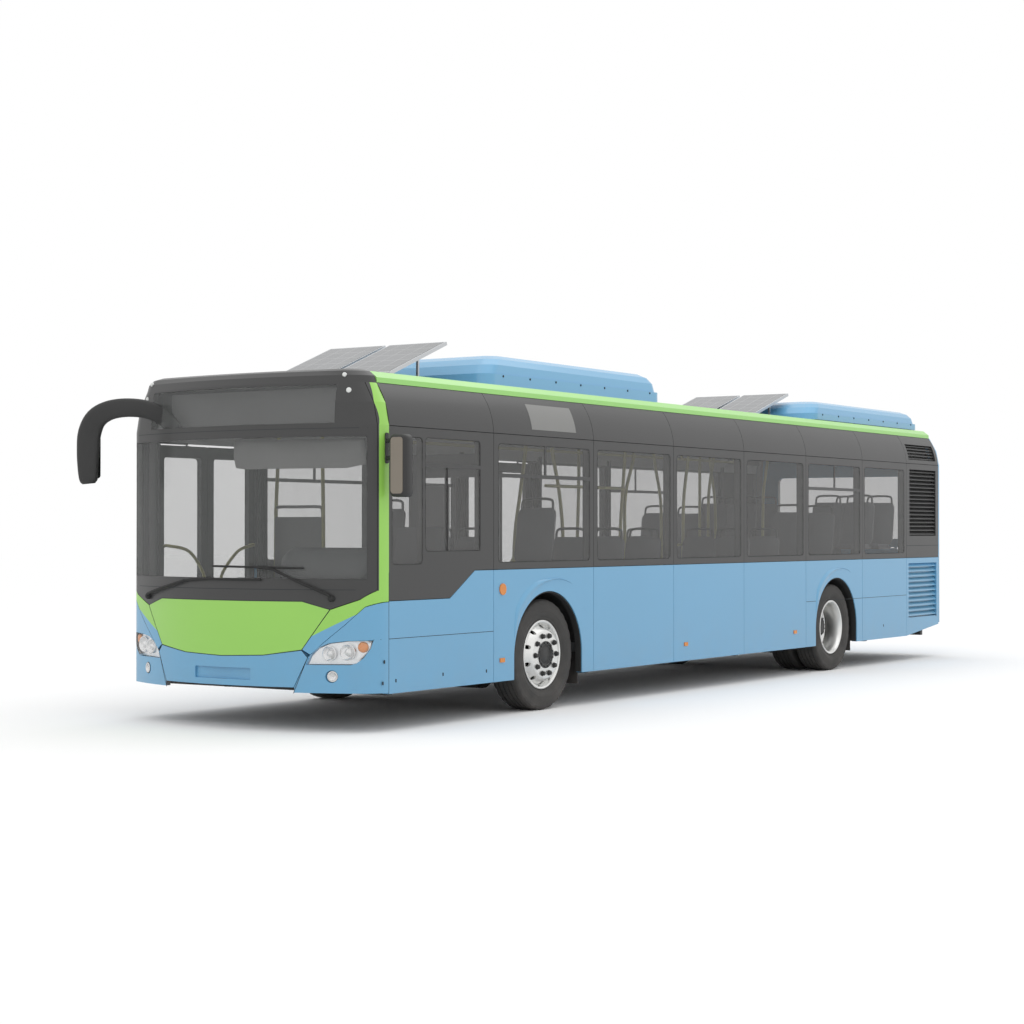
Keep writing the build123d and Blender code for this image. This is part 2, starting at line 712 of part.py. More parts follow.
for name, axle_x, side, centres in wheel_sets:
    disc_out = front_disc_out if len(centres) == 1 else rear_disc_out
    outer_plane = wheel_plane(axle_x, side * centres[0], side)
    axle_line = Axis(outer_plane.origin, outer_plane.x_dir)
    with BuildPart() as rim:
        for y in centres:
            with BuildSketch(wheel_plane(axle_x, side * y, side)):
                add(barrel_outline())
                make_face()
            revolve(axis=axle_line)
        with BuildSketch(outer_plane):
            if len(centres) == 1:
                Polygon((disc_out - 14, 142), (disc_out - 14, 196), (40, 262), (54, 262), (disc_out, 200),
                        (disc_out, 142), align=None)
            else:
                Polygon((disc_out - 12, 142), (disc_out - 12, 200), (disc_out - 62, 272),
                        (disc_out + 62, 272), (disc_out + 12, 200), (disc_out + 12, 142), align=None)
        revolve(axis=axle_line)
        with BuildSketch(outer_plane):
            if len(centres) == 1:
                Polygon((disc_out - 30, 92), (disc_out - 30, 150), (disc_out + 3, 150),
                        (disc_out + 6, 112), (disc_out + 46, 84), (disc_out + 58, 0), (disc_out + 46, 0),
                        (disc_out + 30, 78), (disc_out - 2, 92), align=None)
            else:
                Polygon((disc_out - 30, 102), (disc_out - 30, 150), (disc_out + 16, 150),
                        (disc_out + 20, 118), (disc_out + 150, 104), (disc_out + 158, 90),
                        (disc_out + 158, 0), (disc_out + 144, 0), (disc_out + 144, 90),
                        (disc_out + 12, 102), align=None)
        revolve(axis=axle_line)
        hole_plane = Plane(origin=outer_plane.origin, x_dir=(1, 0, 0), z_dir=(0, side, 0))
        with BuildSketch(hole_plane.offset(disc_out - 90)):
            with PolarLocations(hand_hole_circle, 10):
                Circle(hand_hole_radius)
        extrude(amount=180, mode=Mode.SUBTRACT)
    label = f"{name}_rim" if len(centres) == 1 else f"{name}_rims"
    rim.part.label = label
    export_step(rim.part, f"parts/{label}.step")

# Steering knuckles: a forked upright on the kingpin, a spindle into the hub and a steering arm
steer_arm_back = 200
steer_arm_profile = [(30, axle_z - 120), (115, axle_z - 120), (165, 300), (230, 300), (230, 326), (175, 326),
                     (120, axle_z - 92), (30, axle_z - 92)]
spindle_radius = 42
for side, name in ((1, "left_knuckle"), (-1, "right_knuckle")):
    with BuildPart() as knuckle:
        with BuildSketch(Plane.XY.offset(axle_z - 120)):
            with Locations((front_axle_x, side * kingpin_y)):
                Circle(46)
        extrude(amount=240)
        with BuildSketch(Plane.XZ.offset(-side * kingpin_y)):
            with Locations((front_axle_x, axle_z)):
                Rectangle(120, 150)
        extrude(amount=-side * 75)
        with BuildSketch(Plane.XZ.offset(-side * (kingpin_y + 70))):
            with Locations((front_axle_x, axle_z)):
                Circle(spindle_radius)
        extrude(amount=-side * 150)
        with BuildSketch(Plane.XZ.offset(-side * (kingpin_y + 60))):
            with Locations((front_axle_x, axle_z)):
                Circle(210)
                Circle(150, mode=Mode.SUBTRACT)
                Rectangle(320, 60)
        extrude(amount=-side * 22)
        with BuildSketch(Plane.XZ.offset(-side * kingpin_y)):
            Polygon(*[(front_axle_x - back, z) for back, z in steer_arm_profile], align=None)
        extrude(amount=22, both=True)
    knuckle.part.label = name
    export_step(knuckle.part, f"parts/{name}.step")

# Track rod between the steering arms, seated just below them
rod_z = 300 - 2 - 18
with BuildPart() as track_rod:
    with BuildSketch(Plane.XZ.offset(-kingpin_y)):
        with Locations((front_axle_x - steer_arm_back, rod_z)):
            Circle(16)
    extrude(amount=2 * kingpin_y)
    for side in (1, -1):
        with BuildSketch(Plane.XY.offset(rod_z - 20)):
            with Locations((front_axle_x - steer_arm_back, side * kingpin_y)):
                Circle(26)
        extrude(amount=38)
track_rod.part.label = "track_rod"
export_step(track_rod.part, "parts/track_rod.step")

# Front axle: a dropped beam that runs under the floor and rises to a fork at each kingpin
fork_radius = 46
half_beam = [(0, 268), (560, 268), (640, 330), (815, axle_z + 185), (kingpin_y, axle_z + 185),
             (kingpin_y, axle_z + 130), (815, axle_z + 130), (815, axle_z - 130), (kingpin_y, axle_z - 130),
             (kingpin_y, axle_z - 180), (770, axle_z - 180), (600, 165)]
with BuildPart() as front_axle:
    with BuildSketch(Plane.YZ.offset(front_axle_x - 32)):
        Polygon(*mirrored(half_beam), align=None)
    extrude(amount=64)
    with BuildSketch(Plane.YZ.offset(front_axle_x - 60)):
        with Locations((0, 217)):
            Rectangle(1120, 102)
    extrude(amount=120)
    for low, high in ((axle_z - 180, axle_z - 130), (axle_z + 130, axle_z + 185)):
        with BuildSketch(Plane.XY.offset(low)):
            with Locations((front_axle_x, kingpin_y), (front_axle_x, -kingpin_y)):
                Circle(fork_radius)
        extrude(amount=high - low)
front_axle.part.label = "front_axle"
export_step(front_axle.part, "parts/front_axle.step")

# Rear axle: a low inverted-portal beam with a hub carrier at each end and an offset gear case
with BuildPart() as rear_axle:
    with BuildSketch(Plane.XZ.offset(-612)):
        with Locations((rear_axle_x, 250)):
            Rectangle(180, 150)
    extrude(amount=1224)
    with BuildSketch(Plane.XZ.offset(400)):
        with Locations((rear_axle_x - 40, 290)):
            Circle(160)
    extrude(amount=-260)
    for side in (1, -1):
        with BuildSketch(Plane.XZ.offset(-side * 612)):
            with BuildLine():
                Line((rear_axle_x - 120, 190), (rear_axle_x + 120, 190))
                Line((rear_axle_x + 120, 190), (rear_axle_x + 120, axle_z))
                ThreePointArc((rear_axle_x + 120, axle_z), (rear_axle_x, axle_z + 120),
                              (rear_axle_x - 120, axle_z))
                Line((rear_axle_x - 120, axle_z), (rear_axle_x - 120, 190))
            make_face()
        extrude(amount=-side * 26)
        with BuildSketch(Plane.XZ.offset(-side * 612)):
            with Locations((rear_axle_x, axle_z)):
                Circle(88)
        extrude(amount=-side * 438)
rear_axle.part.label = "rear_axle"
export_step(rear_axle.part, "parts/rear_axle.step")

# Underframe: two long members, cross members, outriggers and the flaps behind the wheels
frame_bottom_z = 275
frame_top_z = floor_z - floor_thickness
member_y = 430
member_width = 60
with BuildPart() as underframe:
    with BuildSketch(Plane.XY.offset(frame_bottom_z)):
        for front, rear in ((560, 2300), (3280, 8450), (9150, 11530)):
            with Locations((station((front + rear) / 2), member_y), (station((front + rear) / 2), -member_y)):
                Rectangle(rear - front, member_width)
        for back in (600, 2080, 3560, 5030, 6520, 7900, 9800, 11500):
            inner_y = member_y - member_width / 2 - 2
            outer_y = member_y + member_width / 2 + 2
            with Locations((station(back), 0)):
                Rectangle(member_width, 2 * inner_y)
            outrigger_y = (1190 + outer_y) / 2
            with Locations((station(back), outrigger_y), (station(back), -outrigger_y)):
                Rectangle(member_width, 1190 - outer_y)
    extrude(amount=frame_top_z - frame_bottom_z - 1)
    for back in (front_axle_back + 612, rear_axle_back + 548):
        for side in (1, -1):
            with BuildSketch(Plane.YZ.offset(station(back))):
                with Locations((side * 1050, 330)):
                    Rectangle(290, 280)
            extrude(amount=8)
underframe.part.label = "underframe"
export_step(underframe.part, "parts/underframe.step")

# Floor: flat plates with risers between the levels, cut round the wheel boxes
front_box = (640, 575, 1058)
rear_box = (575, 590, 1058)
floor_half = half_width - wall - 3
box_wall = 20
joint_gap = 2
floor_plates = (
    # front edge and rear edge measured back, half width, upper face
    (520, 2150 - joint_gap, floor_half, floor_z),
    (2150, 3430, 575 - joint_gap, floor_z),
    (3430 + joint_gap, 7780, floor_half, floor_z),
    (7780, 8225 - joint_gap, floor_half, axle_floor_z),
    (8225, 9375, 590 - joint_gap, axle_floor_z),
    (9375 + joint_gap, 9600, floor_half, axle_floor_z),
    (9600, 10800, floor_half, rear_floor_z),
    (10800, 11855, floor_half, 1260),
)
risers = (
    # back from the front, lower end, upper end
    (7760, floor_z, axle_floor_z), (9580, axle_floor_z, rear_floor_z), (10780, rear_floor_z, 1260),
)
with BuildPart() as floor_deck:
    for front, rear, half, top in floor_plates:
        with BuildSketch(Plane.XY.offset(top - floor_thickness)):
            with Locations((station((front + rear) / 2), 0)):
                Rectangle(rear - front, 2 * half)
        extrude(amount=floor_thickness)
    for back, low, high in risers:
        with BuildSketch(Plane.XY.offset(low + joint_gap)):
            with Locations((station(back), 0)):
                Rectangle(16, 2 * floor_half)
        extrude(amount=high - low - 2 * joint_gap)
floor_deck.part.label = "floor_deck"
export_step(floor_deck.part, "parts/floor_deck.step")

# Wheel boxes: open underneath, each with a flat top that carries a seat
with BuildPart() as wheel_boxes:
    for axle_x, (half_length, inner_y, top_z) in ((front_axle_x, front_box), (rear_axle_x, rear_box)):
        box_bottom_z = floor_z - floor_thickness
        for side in (1, -1):
            with BuildSketch(Plane.YZ.offset(axle_x - half_length)):
                with Locations((side * (inner_y + floor_half) / 2, (top_z + box_bottom_z) / 2)):
                    Rectangle(floor_half - inner_y, top_z - box_bottom_z)
            extrude(amount=2 * half_length)
            with BuildSketch(Plane.YZ.offset(axle_x - half_length + box_wall)):
                with Locations((side * (inner_y + box_wall + floor_half + 40) / 2, (top_z - box_wall) / 2)):
                    Rectangle(floor_half + 40 - inner_y - box_wall, top_z - box_wall)
            extrude(amount=2 * (half_length - box_wall), mode=Mode.SUBTRACT)
    with BuildSketch(Plane.XZ.offset(-800)):
        with Locations((rear_axle_x, axle_z - 40)):
            Rectangle(300, 360)
    extrude(amount=1600, mode=Mode.SUBTRACT)
wheel_boxes.part.label = "wheel_boxes"
export_step(wheel_boxes.part, "parts/wheel_boxes.step")

# Engine: one plain block at its real place, low behind the rear axle
with BuildPart() as engine_block:
    with BuildSketch(Plane.XY.offset(420)):
        with Locations((station(11000), 0)):
            Rectangle(1300, 900)
    extrude(amount=480)
engine_block.part.label = "engine_block"
export_step(engine_block.part, "parts/engine_block.step")

# Cab: dashboard with the steering wheel, driver's seat and the partition behind it
with BuildPart() as dashboard:
    with BuildSketch(Plane.XZ.offset(-1150)):
        Polygon((station(330), floor_z + 1), (station(290), 900), (station(330), 1130),
                (station(560), 1170), (station(760), 1090), (station(800), 1000), (station(640), 900),
                (station(560), floor_z + 1), align=None)
    extrude(amount=2300)
    with BuildSketch(Plane.XZ.offset(310)):
        Polygon((station(1000), 250), (station(1000), 1400), (station(430), 1400), (station(430), 250),
                align=None)
    extrude(amount=1000, mode=Mode.SUBTRACT)
    add(nose_solid(62, station(1100), 50), mode=Mode.INTERSECT)
    wheel_tilt = Plane(origin=(station(900), 620, 1180), x_dir=(0, 1, 0),
                       z_dir=(-sin(radians(25)), 0, cos(radians(25))))
    with BuildSketch(Plane(origin=wheel_tilt.origin, x_dir=wheel_tilt.x_dir, z_dir=wheel_tilt.y_dir)):
        with Locations((225, 0)):
            Circle(15)
    revolve(axis=Axis(wheel_tilt.origin, wheel_tilt.z_dir))
    with BuildSketch(wheel_tilt.offset(-12)):
        Circle(45)
        Rectangle(440, 34)
    extrude(amount=22)
    with BuildSketch(wheel_tilt.offset(-260)):
        Circle(38)
    extrude(amount=250)
dashboard.part.label = "dashboard"
export_step(dashboard.part, "parts/dashboard.step")

cab_floor_z = floor_z + 1
with BuildPart() as driver_seat:
    with BuildSketch(Plane.XZ.offset(-390)):
        Polygon((station(1240), 800), (station(1240), 900), (station(1640), 880), (station(1650), 800),
                align=None)
        Polygon((station(1645), 882), (station(1652), 800), (station(1780), 800), (station(1870), 1560),
                (station(1790), 1580), align=None)
    extrude(amount=-470)
    with BuildSketch(Plane.XY.offset(cab_floor_z)):
        with Locations((station(1450), 625)):
            Rectangle(320, 320)
    extrude(amount=800 - joint_gap - cab_floor_z)
driver_seat.part.label = "driver_seat"
export_step(driver_seat.part, "parts/driver_seat.step")

with BuildPart() as cab_partition:
    with BuildSketch(Plane.YZ.offset(station(2120))):
        Polygon((290, floor_z + 1), (290, 2200), (1140, 2200), (1210, 2000), (1210, floor_z + 1), align=None)
        with Locations((750, 1620)):
            RectangleRounded(700, 760, 40, mode=Mode.SUBTRACT)
    extrude(amount=30)
    with BuildSketch(Plane.XZ.offset(-290)):
        Polygon((station(2088), floor_z + 1), (station(2088), 1250), (station(1150), 1150),
                (station(1150), floor_z + 1), align=None)
    extrude(amount=25)
cab_partition.part.label = "cab_partition"
export_step(cab_partition.part, "parts/cab_partition.step")

# Passenger seats: shells in pairs or singles, all facing forwards
seat_rows = (
    # back from the front to the backrest, floor height, near and far edge from the centre line, side
    (3300, 1060, 620, 1040, 1),
    (3300, 1060, 620, 1040, -1),
    (4300, floor_z, 360, 1165, 1),
    (5000, floor_z, 360, 1165, 1),
    (4300, floor_z, 360, 1165, -1),
    (6900, floor_z, 360, 1165, 1),
    (7600, floor_z, 360, 1165, 1),
    (7600, floor_z, 360, 1165, -1),
    (8500, 1060, 620, 1040, 1),
    (8500, 1060, 620, 1040, -1),
    (9300, 1060, 620, 1040, 1),
    (9300, 1060, 620, 1040, -1),
    (10150, rear_floor_z, 360, 1165, 1),
    (10150, rear_floor_z, 360, 1165, -1),
    (10740, rear_floor_z, 360, 1165, 1),
    (10740, rear_floor_z, 360, 1165, -1),
)
seat_rise = {floor_z: 620, 1060: 190, rear_floor_z: 430}
with BuildPart() as passenger_seats:
    for back, base_z, near, far, side in seat_rows:
        low = base_z + 1
        rise = seat_rise[base_z]
        middle_y = side * (near + far) / 2
        with BuildSketch(Plane.XZ.offset(-middle_y)):
            Polygon((station(back - 440), low + rise - 40), (station(back - 440), low + rise),
                    (station(back - 80), low + rise - 15), (station(back - 80), low + rise - 50), align=None)
            Polygon((station(back - 75), low + rise - 50), (station(back - 75), low + rise),
                    (station(back - 35), low + rise + 500), (station(back), low + rise + 500),
                    (station(back - 30), low + rise - 50), align=None)
        extrude(amount=(far - near) / 2, both=True)
        with BuildSketch(Plane.XY.offset(low)):
            with Locations((station(back - 240), middle_y)):
                Rectangle(220, 60)
        extrude(amount=rise - 50 - joint_gap)
passenger_seats.part.label = "passenger_seats"
export_step(passenger_seats.part, "parts/passenger_seats.step")

# Handrails: stanchions from the floor to the ceiling and two rails along it
rail_radius = 16
ceiling_rail_z = 2080
stanchions_at = (2450, 3450, 4800, 6650, 7450)
rail_y = 330
rail_end_back = 9500
with BuildPart() as handrails:
    for side in (1, -1):
        with BuildSketch(Plane.XY.offset(floor_z + 1)):
            with Locations(*[(station(back), side * rail_y) for back in stanchions_at]):
                Circle(rail_radius)
        extrude(amount=2755 - floor_z)
        for front, rear in zip(stanchions_at, stanchions_at[1:] + (rail_end_back,)):
            with BuildSketch(Plane.YZ.offset(station(rear) + rail_radius + joint_gap)):
                with Locations((side * rail_y, ceiling_rail_z)):
                    Circle(rail_radius)
            extrude(amount=rear - front - 2 * (rail_radius + joint_gap))
handrails.part.label = "handrails"
export_step(handrails.part, "parts/handrails.step")

# Mirrors: a long moulded arm with a hanging housing on the right, a compact one on the left
right_arm = [(5540, -750, 2300), (5730, -885, 2525), (5890, -1030, 2540), (5975, -1210, 2520),
             (6018, -1345, 2350)]
with BuildPart() as mirrors:
    with BuildLine() as arm_path:
        FilletPolyline(*right_arm, radius=90)
    with BuildSketch(Plane(origin=right_arm[0], z_dir=Vector(*right_arm[1]) - Vector(*right_arm[0]))):
        Circle(48)
    sweep()
    with BuildSketch(Plane.XY.offset(1921)):
        with Locations((6025, -1348)):
            RectangleRounded(120, 205, 45)
    extrude(amount=470)
    with BuildSketch(Plane.XY.offset(1805)):
        with Locations((station(430), 1425)):
            RectangleRounded(95, 165, 35)
    extrude(amount=480)
    with Locations((station(445), 1320, 2190), (station(445), 1320, 2280)):
        Box(50, 100, 24)
    add(nose_solid(-2, station(nose_back), -2), mode=Mode.SUBTRACT)
mirrors.part.label = "mirrors"
export_step(mirrors.part, "parts/mirrors.step")

# Wipers: an arm from each lower corner up to a blade that lies along the screen
wiper_sets = (
    # pivot Y, pivot Z, blade start Y, blade end Y, blade Z
    (920, 1050, 740, -80, 1263),
    (-920, 1050, -150, -800, 1215),
)
with BuildPart() as wipers:
    add(nose_solid(-32, station(nose_back), 0))
    add(nose_solid(-10, station(nose_back) - 80, 0), mode=Mode.SUBTRACT)
    with BuildSketch(nose_plane):
        for pivot_y, pivot_z, start_y, end_y, blade_z in wiper_sets:
            middle_y = (start_y + end_y) / 2
            reach = Vector(middle_y - pivot_y, blade_z - pivot_z)
            slope = degrees(atan2(reach.Y, reach.X))
            with Locations(Location((pivot_y + reach.X / 2, pivot_z + reach.Y / 2), slope)):
                Rectangle(reach.length, 22)
            with Locations((middle_y, blade_z)):
                Rectangle(abs(start_y - end_y), 18)
            with Locations((pivot_y, pivot_z)):
                Circle(26)
    extrude(amount=nose_depth, mode=Mode.INTERSECT)
    with BuildSketch(nose_plane):
        with Locations(*[row[:2] for row in wiper_sets]):
            Circle(18)
    extrude(amount=nose_depth - 20)
    add(nose_outer, mode=Mode.SUBTRACT)
    with BuildSketch(Plane.YZ.offset(station(900))):
        Rectangle(3000, 6000)
    extrude(amount=500, mode=Mode.SUBTRACT)
wipers.part.label = "wipers"
export_step(wipers.part, "parts/wipers.step")

# Door leaves, their glass, and the columns with arms that swing them inwards. The arms pass under and
# over the leaf, because the leaf turns half a turn against them.
arm_width = 24
arm_height = 14
arm_levels = (
    # underside of the arm, underside of the leaf's bracket, direction from the arm to the bracket
    (371, leaf_bottom_z, 1),
    (leaf_top_z + 8, leaf_top_z - 12, -1),
)
bracket_height = 12
pin_radius = 8
pin_play = 0.05
leaf_mid_y = -half_width + leaf_thickness / 2
pivot_y = leaf_mid_y + pivot_inset
glass_margin = 75
for place, (front, rear) in doors.items():
    leaf_width = (rear - front - 2 * jamb_gap - meeting_gap) / 2
    arm_length = leaf_width / 2 + column_offset
    for end, jamb, towards in (("front", front, 1), ("rear", rear, -1)):
        edge = jamb + towards * jamb_gap
        leaf_centre = station(edge + towards * leaf_width / 2)
        column_x = station(edge - towards * column_offset)
        leaf_name = f"{place}_door_{end}_leaf"
        with BuildPart() as leaf:
            with BuildSketch(Plane.XZ.offset(half_width)):
                with Locations((leaf_centre, (leaf_bottom_z + leaf_top_z) / 2)):
                    RectangleRounded(leaf_width, leaf_top_z - leaf_bottom_z, 20)
                    RectangleRounded(leaf_width - 2 * glass_margin,
                                     leaf_top_z - leaf_bottom_z - 2 * glass_margin - 40, 40,
                                     mode=Mode.SUBTRACT)
            extrude(amount=-leaf_thickness)
            for arm_z, bracket_z, upwards in arm_levels:
                with BuildSketch(Plane.XY.offset(bracket_z)):
                    with Locations((leaf_centre, pivot_y - pivot_inset / 2)):
                        Rectangle(44, pivot_inset)
                    with Locations((leaf_centre, pivot_y)):
                        Circle(22)
                        Circle(pin_radius + pin_play, mode=Mode.SUBTRACT)
                extrude(amount=bracket_height)
        leaf.part.label = leaf_name
        export_step(leaf.part, f"parts/{leaf_name}.step")
        glass_name = f"{place}_door_{end}_glass"
        with BuildPart() as leaf_glass:
            with BuildSketch(Plane.XZ.offset(half_width - 6)):
                with Locations((leaf_centre, (leaf_bottom_z + leaf_top_z) / 2)):
                    RectangleRounded(leaf_width - 2 * glass_margin - 2 * glass_play,
                                     leaf_top_z - leaf_bottom_z - 2 * glass_margin - 40 - 2 * glass_play, 38)
            extrude(amount=-glass_thickness)
        leaf_glass.part.label = glass_name
        export_step(leaf_glass.part, f"parts/{glass_name}.step")
        arm_name = f"{place}_door_{end}_arm"
        with BuildPart() as arm:
            with BuildSketch(Plane.XY.offset(floor_z + 4)):
                with Locations((column_x, pivot_y)):
                    Circle(column_radius)
            extrude(amount=door_head_z + 12 - floor_z - 4)
            for arm_z, bracket_z, upwards in arm_levels:
                with BuildSketch(Plane.XY.offset(arm_z)):
                    with Locations(((column_x + leaf_centre) / 2, pivot_y)):
                        SlotOverall(arm_length + arm_width, arm_width)
                extrude(amount=arm_height)
                pin_start = arm_z if upwards > 0 else bracket_z
                with BuildSketch(Plane.XY.offset(pin_start)):
                    with Locations((leaf_centre, pivot_y)):
                        Circle(pin_radius)
                extrude(amount=abs(bracket_z - arm_z) + (bracket_height if upwards > 0 else arm_height))
        arm.part.label = arm_name
        export_step(arm.part, f"parts/{arm_name}.step")
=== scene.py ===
import math
from itertools import product

import bmesh
import bpy
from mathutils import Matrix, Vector
from mathutils.geometry import delaunay_2d_cdt


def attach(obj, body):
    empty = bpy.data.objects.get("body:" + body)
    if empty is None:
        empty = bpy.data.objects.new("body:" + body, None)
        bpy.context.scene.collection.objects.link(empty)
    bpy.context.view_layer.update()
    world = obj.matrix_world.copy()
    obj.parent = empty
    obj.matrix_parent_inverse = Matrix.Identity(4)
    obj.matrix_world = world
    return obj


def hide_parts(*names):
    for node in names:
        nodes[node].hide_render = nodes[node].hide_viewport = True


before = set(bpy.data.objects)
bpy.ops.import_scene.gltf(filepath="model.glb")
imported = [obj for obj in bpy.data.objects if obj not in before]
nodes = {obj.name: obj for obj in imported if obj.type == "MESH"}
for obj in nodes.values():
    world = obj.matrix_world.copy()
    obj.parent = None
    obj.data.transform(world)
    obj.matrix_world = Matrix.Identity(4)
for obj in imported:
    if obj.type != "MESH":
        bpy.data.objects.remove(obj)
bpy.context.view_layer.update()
print("frame loaded:", len(nodes), "nodes")


# The camera stands where the photographer stood

cameraPlace = {
    "at": (17.92026, 10.58010, 1.54434),
    "yaw": 33.18663,      # degrees from straight behind the nose
    "pitch": 0.544018,    # degrees upwards
    "lens": 71.2,
    "sensor": 36,
}


def placeCamera(place):
    data = bpy.data.cameras.new("camera")
    data.lens = place["lens"]
    data.sensor_width = place["sensor"]
    data.clip_end = 300
    camera = bpy.data.objects.new("camera", data)
    bpy.context.scene.collection.objects.link(camera)
    yaw = math.radians(place["yaw"])
    pitch = math.radians(place["pitch"])
    look = Vector((-math.cos(yaw) * math.cos(pitch), -math.sin(yaw) * math.cos(pitch), math.sin(pitch)))
    camera.location = place["at"]
    camera.rotation_euler = look.to_track_quat("-Z", "Y").to_euler()
    bpy.context.scene.camera = camera


placeCamera(cameraPlace)
bpy.context.scene.view_settings.view_transform = "Standard"


# Node and colour helpers

def fromScreen(red, green, blue):
    # a colour read off a screen, 0 to 255, as the linear colour that a shader wants
    def linear(value):
        value /= 255
        return value / 12.92 if value < 0.04045 else ((value + 0.055) / 1.055) ** 2.4
    return (linear(red), linear(green), linear(blue), 1)


def feed(tree, node, feeds):
    # each input gets the value it keeps, or the output that is linked to it
    for name, value in feeds.items():
        if isinstance(value, bpy.types.NodeSocket):
            tree.links.new(value, node.inputs[name])
        else:
            node.inputs[name].default_value = value


def addNode(tree, kind, at, feeds=None, **settings):
    node = tree.nodes.new("ShaderNode" + kind)
    node.location = at
    for key, value in settings.items():
        setattr(node, key, value)
    feed(tree, node, feeds or {})
    return node


def calculate(tree, operation, at, *values, **settings):
    return addNode(tree, "Math", at, dict(enumerate(values)), operation=operation, **settings).outputs[0]


def mixColour(tree, at, factor, first, second, **settings):
    feeds = {"Factor": factor, "A": first, "B": second}
    return addNode(tree, "Mix", at, feeds, data_type="RGBA", **settings).outputs["Result"]


def useGroup(tree, group, at, **feeds):
    return addNode(tree, "Group", at, feeds, node_tree=group).outputs


def objectPlace(tree, at=(-900, -300)):
    return addNode(tree, "TexCoord", at).outputs["Object"]


def noise(tree, at, place, scale, detail):
    return addNode(tree, "TexNoise", at, {"Vector": place, "Scale": scale, "Detail": detail}).outputs["Fac"]


def newGroup(name, inputs, outputs):
    group = bpy.data.node_groups.new(name, "ShaderNodeTree")
    for label, kind, value in inputs:
        socket = group.interface.new_socket(name=label, in_out="INPUT", socket_type="NodeSocket" + kind)
        socket.default_value = value
    for label, kind in outputs:
        group.interface.new_socket(name=label, in_out="OUTPUT", socket_type="NodeSocket" + kind)
    start = group.nodes.new("NodeGroupInput")
    start.location = (-900, 0)
    end = group.nodes.new("NodeGroupOutput")
    end.location = (700, 0)
    return group, start.outputs, end


midGrey = (0.5, 0.5, 0.5, 1)
surfaceOutputs = (("Colour", "Color"), ("Roughness", "Float"), ("Normal", "Vector"))
maskOutputs = (("Colour", "Color"), ("Mask", "Float"))


def drifting(group, pattern, amount):
    # a pattern about its middle, as a factor round 1
    centred = calculate(group, "SUBTRACT", (-450, 150), pattern, 0.5)
    return calculate(group, "MULTIPLY_ADD", (-280, 150), centred, amount, 1)


def endSurface(group, given, end, tone, patches, spread, height, strength, distance):
    # tone tints the colour, patches spread the roughness, and height raises a bump
    tint = mixColour(group, (-80, 200), 1, given["Colour"], tone, blend_type="MULTIPLY")
    rough = calculate(group, "MULTIPLY_ADD", (-80, 0), patches, spread, given["Rough"])
    bump = addNode(group, "Bump", (-80, -200), {"Height": height, "Strength": strength, "Distance": distance})
    feed(group, end, {"Colour": tint, "Roughness": rough, "Normal": bump.outputs["Normal"]})
    return group


# Sprayed paint: a faint orange peel and slow drifts of tone
def makePaintGroup():
    group, given, end = newGroup("paintFilm", (
        ("Colour", "Color", midGrey), ("Drift", "Float", 0.04), ("Peel", "Float", 0.02),
        ("Rough", "Float", 0.3),
    ), surfaceOutputs)
    place = objectPlace(group)
    slow = noise(group, (-650, 150), place, 0.9, 3)
    fine = noise(group, (-650, -200), place, 260, 1)
    tone = drifting(group, slow, given["Drift"])
    return endSurface(group, given, end, tone, slow, 0.06, fine, given["Peel"], 0.0006)


# Road film: a thin brownish veil that is strongest near the ground
def makeDustGroup():
    group, given, end = newGroup("roadFilm", (
        ("Colour", "Color", midGrey), ("Amount", "Float", 0.2), ("Reach", "Float", 0.9),
        ("Dust", "Color", (0.28, 0.25, 0.22, 1)),
    ), maskOutputs)
    place = objectPlace(group)
    height = addNode(group, "SeparateXYZ", (-700, -300), {0: place}).outputs["Z"]
    fall = addNode(group, "MapRange", (-500, -300), {
        "Value": height, "From Min": 0.15, "From Max": given["Reach"], "To Min": 1,
        "To Max": 0}).outputs["Result"]
    cloud = noise(group, (-700, -550), place, 5, 6)
    patch = addNode(group, "MapRange", (-500, -550), {
        "Value": cloud, "From Min": 0.35, "From Max": 0.75}).outputs["Result"]
    both = calculate(group, "MULTIPLY", (-300, -400), fall, patch)
    mask = calculate(group, "MULTIPLY", (-120, -400), both, given["Amount"])
    mix = mixColour(group, (150, 100), mask, given["Colour"], given["Dust"])
    feed(group, end, {"Colour": mix, "Mask": mask})
    return group


# Moulded grain: a fine pebbled surface for plastics, rubber and cast metal
def makeGrainGroup():
    group, given, end = newGroup("mouldedGrain", (
        ("Colour", "Color", midGrey), ("Scale", "Float", 300), ("Depth", "Float", 0.2),
        ("Fade", "Float", 0.15), ("Rough", "Float", 0.5),
    ), surfaceOutputs)
    place = objectPlace(group)
    grain = addNode(group, "TexVoronoi", (-650, -200), {"Vector": place,
                                                        "Scale": given["Scale"]}).outputs["Distance"]
    blotch = noise(group, (-650, 150), place, 7, 5)
    tone = drifting(group, blotch, given["Fade"])
    return endSurface(group, given, end, tone, blotch, 0.12, grain, given["Depth"], 0.0012)


# Brushing: streaks drawn along one axis, for rolled and polished metal
def makeBrushGroup():
    group, given, end = newGroup("brushing", (
        ("Colour", "Color", (0.6, 0.6, 0.6, 1)), ("Along", "Vector", (1, 60, 60)), ("Depth", "Float", 0.1),
        ("Rough", "Float", 0.25),
    ), surfaceOutputs)
    feeds = {0: objectPlace(group), 1: given["Along"]}
    stretch = addNode(group, "VectorMath", (-750, -150), feeds, operation="MULTIPLY").outputs[0]
    streak = noise(group, (-550, -150), stretch, 4, 6)
    shade = addNode(group, "MapRange", (-350, 150), {
        "Value": streak, "To Min": 0.82, "To Max": 1.06}).outputs["Result"]
    return endSurface(group, given, end, shade, streak, 0.18, streak, given["Depth"], 0.0004)


